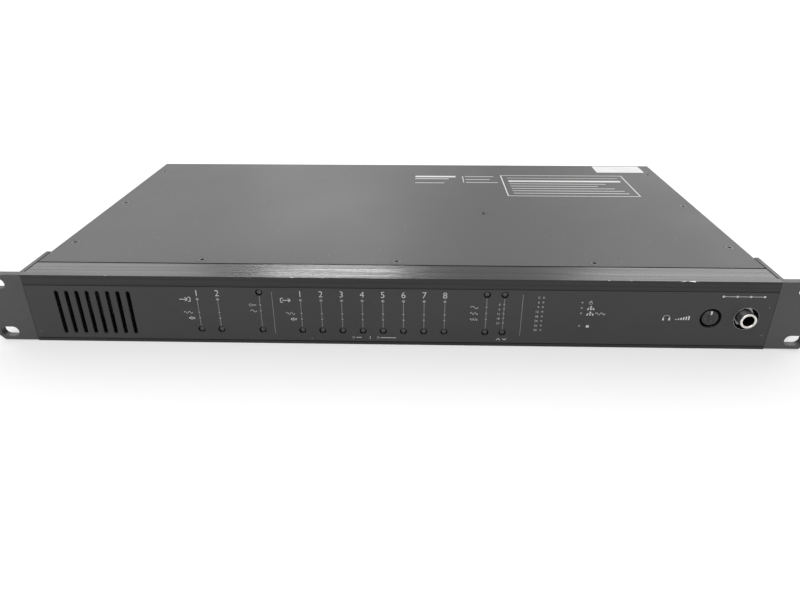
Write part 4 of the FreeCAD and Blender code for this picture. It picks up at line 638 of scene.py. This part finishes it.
SOCKET_WIDE = 16.0 * MM
MOUTH_CEILING = low.z + 11.8 * MM
WINDOW = (2.6 * MM, 0.3 * MM, 1.2 * MM)
WIRES, WIRE_PITCH, WIRE_THICK = 8, 1.02 * MM, 0.34 * MM
WIRE_RUN = [(-11.5, -0.3), (-3.0, -0.3), (-2.4, -0.9), (-9.0, -4.6)]  # depth and height in mm
wires, windows = bmesh.new(), bmesh.new()
for middle in (low.x + SOCKET_WIDE / 2, high.x - SOCKET_WIDE / 2):
    for count in range(WIRES):
        x = middle + (count - (WIRES - 1) / 2) * WIRE_PITCH
        for (y1, z1), (y2, z2) in zip(WIRE_RUN, WIRE_RUN[1:]):
            length = hypot(y2 - y1, z2 - z1) * MM + WIRE_THICK * 0.6
            spot = Vector((x, high.y + (y1 + y2) / 2 * MM, MOUTH_CEILING + (z1 + z2) / 2 * MM))
            place = Matrix.Translation(spot) @ Matrix.Rotation(atan2(z2 - z1, y2 - y1), 4, "X")
            size = Matrix.Diagonal((WIRE_THICK, length, WIRE_THICK, 1))
            bmesh.ops.create_cube(wires, size=1, matrix=place @ size)
    for side in (-1, 1):
        spot = Matrix.Translation((middle + side * 5.0 * MM, high.y + 0.05 * MM, high.z - 1.1 * MM))
        bmesh.ops.create_cube(windows, size=1, matrix=spot @ Matrix.Diagonal((*WINDOW, 1)))
bmesh.ops.bevel(windows, geom=windows.edges[:], offset=0.12 * MM, segments=2, affect="EDGES", profile=0.5,
                material=-1)
make_piece("network_wires", wires, gold_contact, "unit")
make_piece("network_windows", windows, lens_resin, "unit")
print("network wires:", WIRES * 2)

# %% [markdown]
# ## Painted shade round the cover's screws
#
# Each flush screw sits in a countersink, and a thin dark ring round every head is painted shade for its gap.
# The heads' places come from the screws' own mesh: points that lie close together belong to one screw, and the
# middle of their box is its axis.

# %% Thin rings of painted shade
RIM_IN, RIM_OUT = 3.15 * MM, 3.55 * MM
RIM_LIFT, RIM_SLOPE = 0.02 * MM, 0.05 * MM
HEAD_ACROSS = 7 * MM
heads = []
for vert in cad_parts["cover_screws"].data.vertices:
    near = [head for head in heads if hypot(vert.co.x - head[0].x, vert.co.y - head[0].y) < HEAD_ACROSS]
    if near:
        near[0].append(vert.co)
    else:
        heads.append([vert.co])
cover_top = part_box("top_cover")[1].z
screw_shade_rings = bmesh.new()
for head in heads:
    middle = Vector(((min(p.x for p in head) + max(p.x for p in head)) / 2,
                     (min(p.y for p in head) + max(p.y for p in head)) / 2, cover_top))
    points = [screw_shade_rings.verts.new(middle + Vector((radius, 0, lift)))
              for radius, lift in ((RIM_IN, -RIM_LIFT), (RIM_IN + RIM_SLOPE, RIM_LIFT),
                                   (RIM_OUT - RIM_SLOPE, RIM_LIFT), (RIM_OUT, -RIM_LIFT))]
    edges = [screw_shade_rings.edges.new(pair) for pair in zip(points, points[1:] + points[:1])]
    bmesh.ops.spin(screw_shade_rings, geom=points + edges, cent=middle, axis=(0, 0, 1), angle=2 * pi, steps=48,
                   use_merge=True)
bmesh.ops.recalc_face_normals(screw_shade_rings, faces=screw_shade_rings.faces)
make_piece("cover_screw_shade_rings", screw_shade_rings, dark_plastic, "unit")
print("rims:", len(heads))

# %% [markdown]
# ## Printed marks
#
# The front's marks are screen-printed ink: white numbers, thin grey lines that join each column's lamps to its
# button, and small signs. Ink has a thickness of a few hundredths of a millimetre, so each mark is a thin slab
# on the face. The marks are drawn in a flat sheet (x to the right, y up, z out of the surface) and one matrix
# lays the whole sheet on the front, the cover or the back.

# %% Ink helpers
INK = 0.04 * MM
DIGIT_SIZE = 1.39  # the font's size for digits one unit tall
DIGIT_THIN = 0.02  # how much the digits' strokes are thinned, as a share of their height


def ink_bar(sheet, x, y, wide, tall, turn=0.0):
    """A slab of ink, centred on x and y in millimetres and turned in its plane."""
    size = Matrix.Diagonal((wide * MM, tall * MM, INK, 1))
    spot = Matrix.Translation((x * MM, y * MM, INK / 2)) @ Matrix.Rotation(turn, 4, "Z")
    bmesh.ops.create_cube(sheet, size=1, matrix=spot @ size)


def ink_path(sheet, points, width):
    """A line of ink through points in millimetres."""
    for (x1, y1), (x2, y2) in zip(points, points[1:]):
        ink_bar(sheet, (x1 + x2) / 2, (y1 + y2) / 2, hypot(x2 - x1, y2 - y1) + width * 0.6, width,
                atan2(y2 - y1, x2 - x1))


def ink_arc(sheet, x, y, radius, start, end, width, steps=14):
    """Part of a ring, from one angle to another in degrees."""
    angles = [radians(start + (end - start) * k / steps) for k in range(steps + 1)]
    ink_path(sheet, [(x + radius * cos(a), y + radius * sin(a)) for a in angles], width)


def ink_dot(sheet, x, y, radius):
    """A round dot."""
    bmesh.ops.create_cone(sheet, cap_ends=True, segments=20, radius1=radius * MM, radius2=radius * MM,
                          depth=INK, matrix=Matrix.Translation((x * MM, y * MM, INK / 2)))


def ink_number(sheet, digits, x, y, tall, align="CENTER"):
    """A number, with its middle or its right end at x and its foot at y."""
    curve = bpy.data.curves.new("number", "FONT")
    curve.body = digits
    curve.align_x = align
    curve.size = tall * DIGIT_SIZE * MM
    curve.offset = -DIGIT_THIN * tall * MM
    curve.extrude = INK / 2
    curve.resolution_u = 3
    holder = bpy.data.objects.new("number", curve)
    mesh = bpy.data.meshes.new_from_object(holder)
    mesh.transform(Matrix.Translation((x * MM, y * MM, INK / 2)))
    sheet.from_mesh(mesh)
    bpy.data.objects.remove(holder)
    bpy.data.meshes.remove(mesh)
    bpy.data.curves.remove(curve)


def print_on(name, sheet, finish, surface):
    """Lays a sheet of marks on a surface and makes it a piece. Its slabs' faces all point outwards."""
    bmesh.ops.remove_doubles(sheet, verts=sheet.verts, dist=0.0005 * MM)
    bmesh.ops.recalc_face_normals(sheet, faces=sheet.faces)
    bmesh.ops.transform(sheet, matrix=surface, verts=sheet.verts)
    piece = make_piece(name, sheet, finish, "unit")
    print(name, len(piece.data.polygons), "faces")


overlay_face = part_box("front_overlay")[0].y
ON_FRONT = Matrix(((1, 0, 0, 0), (0, 0, -1, overlay_face), (0, 1, 0, 0), (0, 0, 0, 1)))
ON_COVER = Matrix.Translation((0, 0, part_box("top_cover")[1].z))
ON_REAR = Matrix(((-1, 0, 0, 0), (0, 0, 1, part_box("rear_panel")[1].y), (0, 1, 0, 0), (0, 0, 0, 1)))

# %% [markdown]
# ## Signs
#
# Instead of words the marks use plain signs that need no language: an arrow into or out of a bracket, a wave
# for a signal, a struck-out loudspeaker for silence, a circle with a line for power, three joined boxes for a
# network, and headphones.

# %% Small signs
STROKE, FINE_STROKE = 0.35, 0.28  # widths in mm


def sign_arrow(sheet, x, y, bracket):
    """Arrow to the right, with a bracket after it for an input or before it for an output."""
    ink_path(sheet, [(x - 3, y), (x + 1.6, y)], STROKE)
    ink_path(sheet, [(x + 0.2, y + 1.1), (x + 1.7, y), (x + 0.2, y - 1.1)], STROKE)
    side = x + 3.2 if bracket == "after" else x - 4.2
    inward = side - 1.3 if bracket == "after" else side + 1.3
    ink_path(sheet, [(inward, y + 1.3), (side, y + 1.3), (side, y - 1.3), (inward, y - 1.3)], STROKE)


def sign_wave(sheet, x, y, wide=5.0, tall=0.75, turns=2):
    """A wave from left to right."""
    steps = 8 * turns
    ink_path(sheet, [(x - wide / 2 + wide * k / steps, y + tall * sin(2 * pi * turns * k / steps))
                     for k in range(steps + 1)], FINE_STROKE)


def sign_silence(sheet, x, y):
    """A small loudspeaker, struck out."""
    ink_bar(sheet, x - 1.1, y, 0.7, 0.8)
    ink_path(sheet, [(x - 0.8, y + 0.35), (x + 0.2, y + 0.95), (x + 0.2, y - 0.95), (x - 0.8, y - 0.35)],
             FINE_STROKE)
    for slope in (-1, 1):
        ink_path(sheet, [(x + 0.8, y - slope * 0.6), (x + 2.0, y + slope * 0.6)], FINE_STROKE)


def sign_power(sheet, x, y):
    """An open ring with a line."""
    ink_arc(sheet, x, y, 0.95, 120, 420, 0.3)
    ink_path(sheet, [(x, y + 0.2), (x, y + 1.3)], 0.3)


def sign_network(sheet, x, y):
    """Three boxes joined by lines."""
    for spot in (x - 1.6, x, x + 1.6):
        ink_bar(sheet, spot, y - 0.8, 0.85, 0.7)
    ink_bar(sheet, x, y + 0.9, 0.85, 0.7)
    ink_path(sheet, [(x, y + 0.6), (x, y - 0.5)], 0.2)
    ink_path(sheet, [(x - 1.6, y - 0.4), (x - 1.6, y + 0.1), (x + 1.6, y + 0.1), (x + 1.6, y - 0.4)], 0.2)


def sign_lock(sheet, x, y):
    """A padlock."""
    ink_bar(sheet, x, y - 0.4, 1.7, 1.2)
    ink_arc(sheet, x, y + 0.25, 0.55, 0, 180, FINE_STROKE, steps=8)


def sign_headphones(sheet, x, y):
    """A band with two cups."""
    ink_arc(sheet, x, y - 0.2, 1.9, 0, 180, STROKE)
    for side in (-1, 1):
        ink_bar(sheet, x + side * 1.75, y - 0.9, 0.95, 1.6)


# %% [markdown]
# ## The front's marks
#
# The columns stand at even steps, as the CAD's buttons and lamps do. A thin grey line joins each column's lamps
# to its button, and stops short of every lamp and button hole. Plain numbers count the channels and the steps
# of the level meter. All these places are in millimetres, from the front's middle and its foot.

# %% Column lines
INPUT_COLUMNS = [-115.6, -103.6]
OUTPUT_COLUMNS = [-55.2 + 11.96 * k for k in range(8)]
LAMP_ROW, SIGNAL_ROW, SILENCE_ROW = 29.0, 20.4, 16.6
BUTTON_GAP, LAMP_GAP, LARGE_LAMP_GAP = 2.3, 0.85, 1.15
HIGH_BUTTON, LOW_BUTTON = (33.85, BUTTON_GAP), (9.1, BUTTON_GAP)
CHANNEL_STOPS = [(LAMP_ROW, LARGE_LAMP_GAP), (SIGNAL_ROW, LAMP_GAP), (SILENCE_ROW, LAMP_GAP), LOW_BUTTON]
LEVEL_STOPS = [HIGH_BUTTON, (25.7, LAMP_GAP), (21.8, LAMP_GAP), LOW_BUTTON]
MODE_STOPS = [HIGH_BUTTON, (25.7, LAMP_GAP), (21.7, LAMP_GAP), (17.7, LAMP_GAP), LOW_BUTTON]
SOURCE_STOPS = [HIGH_BUTTON] + [(27.7 - 3.05 * k, LAMP_GAP) for k in range(5)] + [LOW_BUTTON]
columns = [(x, CHANNEL_STOPS) for x in INPUT_COLUMNS + OUTPUT_COLUMNS]
columns += [(-79.0, LEVEL_STOPS), (52.6, MODE_STOPS), (62.7, SOURCE_STOPS)]

lines = bmesh.new()
for x, stops in columns:
    for (upper, above), (lower, below) in zip(stops, stops[1:]):
        top, foot = upper - above, lower + below
        ink_bar(lines, x, (top + foot) / 2, 0.34, top - foot)

# %% Numbers and dividers
NUMBER_FOOT, NUMBER_TALL = 31.2, 4.1
marks = bmesh.new()
for group in (INPUT_COLUMNS, OUTPUT_COLUMNS):
    for count, x in enumerate(group, 1):
        ink_number(marks, str(count), x, NUMBER_FOOT, NUMBER_TALL)
for count, steps in enumerate(("0", "6", "12", "18", "24")):
    ink_number(marks, steps, 60.6, 27.0 - 3.05 * count, 1.35, "RIGHT")
for count, steps in enumerate(("0", "6", "9", "12", "18", "24", "36", "50")):
    ink_number(marks, steps, 82.8, 31.7 - 3.04 * count, 1.45, "RIGHT")
ink_bar(lines, -71.6, 20.5, 0.3, 27.7)
ink_bar(lines, 73.1, 20.7, 0.3, 27.1)
print_on("column_lines", lines, grey_ink, ON_FRONT)

# %% Signs beside the columns
sign_arrow(marks, -122.9, LAMP_ROW, "after")
sign_arrow(marks, -62.6, LAMP_ROW, "before")
for x in (-119.0, -58.6):
    sign_wave(marks, x - 3.0, SIGNAL_ROW)
    sign_silence(marks, x - 1.6, SILENCE_ROW)
ink_arc(marks, -84.6, 25.7, 0.8, 0, 360, FINE_STROKE)
ink_path(marks, [(-83.8, 25.7), (-81.4, 25.7)], FINE_STROKE)
sign_wave(marks, -83.1, 21.8, wide=3.6, turns=1)
for row, turns in enumerate((1, 2, 3)):
    sign_wave(marks, 45.6, 25.7 - 4.0 * row, wide=4.4, turns=turns)
for side, x in ((1, 60.6), (-1, 64.2)):
    tip, ends = 4.6 + side * 0.6, 4.6 - side * 0.5
    ink_path(marks, [(x - 1.0, ends), (x, tip), (x + 1.0, ends)], 0.32)

# %% Signs of the lower row, the status lamps and the headphones
FOOT_ROW = 4.7
for x, long in ((-25.0, 3.0), (-10.5, 9.0)):
    ink_arc(marks, x, FOOT_ROW, 0.65, 0, 360, 0.26)
    ink_path(marks, [(x + 1.6, FOOT_ROW), (x + 1.6 + long, FOOT_ROW)], 0.32)
ink_bar(marks, -15.2, FOOT_ROW, 0.3, 1.9)
sign_power(marks, 112.0, 29.4)
sign_network(marks, 112.4, 26.0)
sign_network(marks, 112.4, 22.4)
sign_wave(marks, 118.2, 22.4, wide=5.6)
sign_lock(marks, 111.9, 14.3)
sign_headphones(marks, 156.4, 20.3)
for step in range(6):
    tall = 0.5 + 0.42 * step
    ink_bar(marks, 162.0 + 1.45 * step, 19.0 + tall / 2, 0.75, tall)
NAME_ROW = 34.3
ink_path(marks, [(186.0, NAME_ROW), (209.0, NAME_ROW)], 0.22)
for x in (186.0, 193.7, 201.3, 209.0):
    ink_dot(marks, x, NAME_ROW, 0.65)
print_on("front_marks", marks, white_ink, ON_FRONT)

# %% [markdown]
# ## Marks on the cover and the back
#
# The cover has a ruled white box towards the back, like a form, a few plain bars beside it, and a blank paper
# label in the corner. The back has numbers over the terminals, a sign over each network socket and the usual
# sign at the earth screw.

# %% Ruled box on the cover
BOX_LEFT, BOX_RIGHT, BOX_FRONT, BOX_BACK, RULE = 82.5, 184.0, 32.8, 88.3, 0.9
middle_x, middle_y = (BOX_LEFT + BOX_RIGHT) / 2, (BOX_FRONT + BOX_BACK) / 2
form = bmesh.new()
for y in (BOX_FRONT, BOX_BACK):
    ink_bar(form, middle_x, y, BOX_RIGHT - BOX_LEFT + RULE, RULE)
for x in (BOX_LEFT, BOX_RIGHT):
    ink_bar(form, x, middle_y, RULE, BOX_BACK - BOX_FRONT)
ink_bar(form, middle_x, 80.6, 92.0, 0.7)
ink_bar(form, middle_x, 72.0, 92.0, 4.2)
for row, long in enumerate((78.0, 70.0, 82.0, 88.0, 90.0)):
    ink_bar(form, BOX_LEFT + 5.0 + long / 2, 64.5 - 6.2 * row, long, 1.1)
for x, y, wide, tall in ((27.0, 84.0, 34.0, 4.0), (24.0, 77.5, 28.0, 1.4), (22.0, 66.0, 24.0, 1.0),
                         (50.0, 76.5, 0.6, 18.0), (64.0, 84.5, 24.0, 1.0), (62.0, 76.0, 20.0, 1.0),
                         (65.0, 67.5, 26.0, 1.0)):
    ink_bar(form, x, y, wide, tall)
print_on("cover_marks", form, white_ink, ON_COVER)

# %% Blank paper label
LABEL_MIDDLE = (186.8 * MM, 108.5 * MM, 0)
LABEL_WIDE, LABEL_DEEP, LABEL_THICK = 40.5 * MM, 19.5 * MM, 0.1 * MM
label_place = Matrix.Translation(LABEL_MIDDLE) @ Matrix.Diagonal((LABEL_WIDE, LABEL_DEEP, 1, 1))
label = bmesh.new()
bmesh.ops.create_grid(label, x_segments=1, y_segments=1, size=0.5, matrix=label_place)
bmesh.ops.bevel(label, geom=label.verts[:], offset=1.2 * MM, segments=5, affect="VERTICES", profile=0.5,
                material=-1)
bmesh.ops.solidify(label, geom=label.faces[:], thickness=LABEL_THICK)
bmesh.ops.recalc_face_normals(label, faces=label.faces)
lowest = min(v.co.z for v in label.verts)
bmesh.ops.translate(label, vec=(0, 0, -lowest), verts=label.verts)
print_on("cover_label", label, label_paper, ON_COVER)

# %% Numbers and signs on the back
TERMINALS_START, TERMINAL_STEP, CHANNEL_HALF_STEP = -22.0, 42.0, 6.35
EARTH_X = 118.0
rear = bmesh.new()
for k in range(5):
    for half, side in enumerate((-1, 1)):
        centre_x = TERMINALS_START + TERMINAL_STEP * k + side * CHANNEL_HALF_STEP
        ink_number(rear, str(2 * k + half + 1), -centre_x, 21.5, 2.6)
for row, wide in enumerate((3.6, 2.3, 1.0)):
    ink_bar(rear, EARTH_X, 12.6 - 0.9 * row, wide, STROKE)
ink_bar(rear, EARTH_X, 13.4, STROKE, 1.6)
for x in (94.0, 74.0):
    sign_network(rear, x, 26.5)
print_on("rear_marks", rear, white_ink, ON_REAR)

# %% [markdown]
# ## Signs on the rocker
#
# The rocker's two halves carry a bar for on and a ring for off. Its face is tilted, so the place of each sign
# is found by a straight look from behind onto the rocker's mesh, which gives the point that is met and the way
# the face points there.

# %% A bar and a ring
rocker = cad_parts["power_rocker"]
low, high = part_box("power_rocker")
for name, share in (("rocker_bar", 0.24), ("rocker_ring", 0.76)):
    start = Vector(((low.x + high.x) / 2, high.y + 0.05, low.z + share * (high.z - low.z)))
    point, facing = rocker.ray_cast(start, Vector((0, -1, 0)))[1:3]
    sheet = bmesh.new()
    if name == "rocker_bar":
        ink_bar(sheet, 0, 0, 0.7, 2.8)
    else:
        ink_arc(sheet, 0, 0, 1.4, 0, 360, 0.6, steps=24)
    upright = facing.to_track_quat("Z", "Y").to_matrix().to_4x4()
    bmesh.ops.transform(sheet, matrix=Matrix.Translation(point) @ upright, verts=sheet.verts)
    make_piece(name, sheet, white_ink, "power_rocker")
    print(name, "faces back by", round(facing.y, 3))

# %% [markdown]
# ## Stage and light
#
# The floor is one large pale sheet. Two soft lamps stand behind and beside the unit, so that the cover and the
# front's top lip mirror them at a low angle, as they would a bright room. A narrow lamp behind puts the long
# highlight on the lip's brushing, and one large lamp in front and above lights the panel. Their strengths are
# set so that the panel's grey renders about as it is written. The floor and the world are brighter for rays
# that see or mirror them than for those that carry the light, which makes a white backdrop with no more light
# on the unit.

# %% Floor
FLOOR_RADIUS = 7.0
FLOOR_LIFT = 0.36  # extra glow where the floor is seen or mirrored
FAR_LIFT, FAR_START, FAR_END = 0.6, 1.2, 4.0  # more of it far away, where the lamps don't reach
floor_shape = bmesh.new()
bmesh.ops.create_circle(floor_shape, cap_ends=True, segments=96, radius=FLOOR_RADIUS)
floor_mesh = bpy.data.meshes.new("floor")
floor_shape.to_mesh(floor_mesh)
floor_shape.free()
floor = bpy.data.objects.new("floor", floor_mesh)
scene.collection.objects.link(floor)
floor_paint = bpy.data.materials.new("floor_paint")
floor_paint.use_nodes = True
floor_mesh.materials.append(floor_paint)


def seen_directly(tree):
    """1 for a ray from the camera, off gloss or through glass, and 0 for the rays that carry the light."""
    path = add(tree, "ShaderNodeLightPath").outputs
    some = maths(tree, "MAXIMUM", path["Is Camera Ray"], path["Is Glossy Ray"])
    return maths(tree, "MAXIMUM", some, path["Is Transmission Ray"])


tree = floor_paint.node_tree
shader = tree.nodes["Principled BSDF"]
shader.inputs["Base Color"].default_value = grey(0.72)
shader.inputs["Roughness"].default_value = 0.9
shader.inputs["Emission Color"].default_value = grey(1.0)
away = add(tree, "ShaderNodeVectorMath", {0: add(tree, "ShaderNodeTexCoord").outputs["Object"]},
           operation="LENGTH").outputs["Value"]
far_lift = maths(tree, "MULTIPLY", ramp(tree, away, FAR_START, FAR_END, 0.0, FAR_LIFT),
                 add(tree, "ShaderNodeLightPath").outputs["Is Camera Ray"])
lift = maths(tree, "ADD", ramp(tree, seen_directly(tree), 0, 1, 0.0, FLOOR_LIFT), far_lift)
tree.links.new(lift, shader.inputs["Emission Strength"])
print("floor radius in m:", FLOOR_RADIUS)


# %% Lamps
def soft_lamp(name, spot, aim, size, watts):
    """A rectangular lamp at a spot that faces another point."""
    data = bpy.data.lights.new(name, "AREA")
    data.shape = "RECTANGLE"
    data.size, data.size_y = size
    data.energy = watts
    lamp = bpy.data.objects.new(name, data)
    scene.collection.objects.link(lamp)
    lamp.location = spot
    lamp.rotation_euler = (Vector(aim) - Vector(spot)).to_track_quat("-Z", "Y").to_euler()
    lamp.visible_camera = False


soft_lamp("front_lamp", (-0.5, -1.5, 1.5), (0, 0, 0), (1.6, 1.2), 14)
soft_lamp("back_left_lamp", (-1.6, 1.5, 1.15), (0, 0, 0), (2.0, 1.1), 12)
soft_lamp("back_right_lamp", (1.4, 1.4, 1.15), (0, 0, 0), (2.0, 1.1), 16.5)
soft_lamp("back_strip_lamp", (-0.235, 1.25, 0.74), (-0.03, -0.11, 0.04), (0.38, 0.12), 2.8)

# %% World
ROOM_LIGHT = 0.6  # strength for the rays that light the unit
WALL_DIM, WALL_LOW, WALL_HIGH = 0.30, 0.22, 0.44  # gloss mirrors a dimmer wall below these heights
world = bpy.data.worlds.new("room")
scene.world = world
world.use_nodes = True
tree = world.node_tree
backdrop = tree.nodes["Background"].inputs
backdrop["Color"].default_value = grey(1.0)
direction = add(tree, "ShaderNodeTexCoord").outputs["Generated"]
height = add(tree, "ShaderNodeSeparateXYZ", {0: direction}).outputs["Z"]
bright = ramp(tree, height, WALL_LOW, WALL_HIGH, WALL_DIM, 1.0)
bright = maths(tree, "MAXIMUM", bright, add(tree, "ShaderNodeLightPath").outputs["Is Camera Ray"])
tree.links.new(ramp(tree, seen_directly(tree), 0, 1, ROOM_LIGHT, bright), backdrop["Strength"])
scene.view_settings.view_transform = "Standard"
print("view:", scene.view_settings.view_transform)
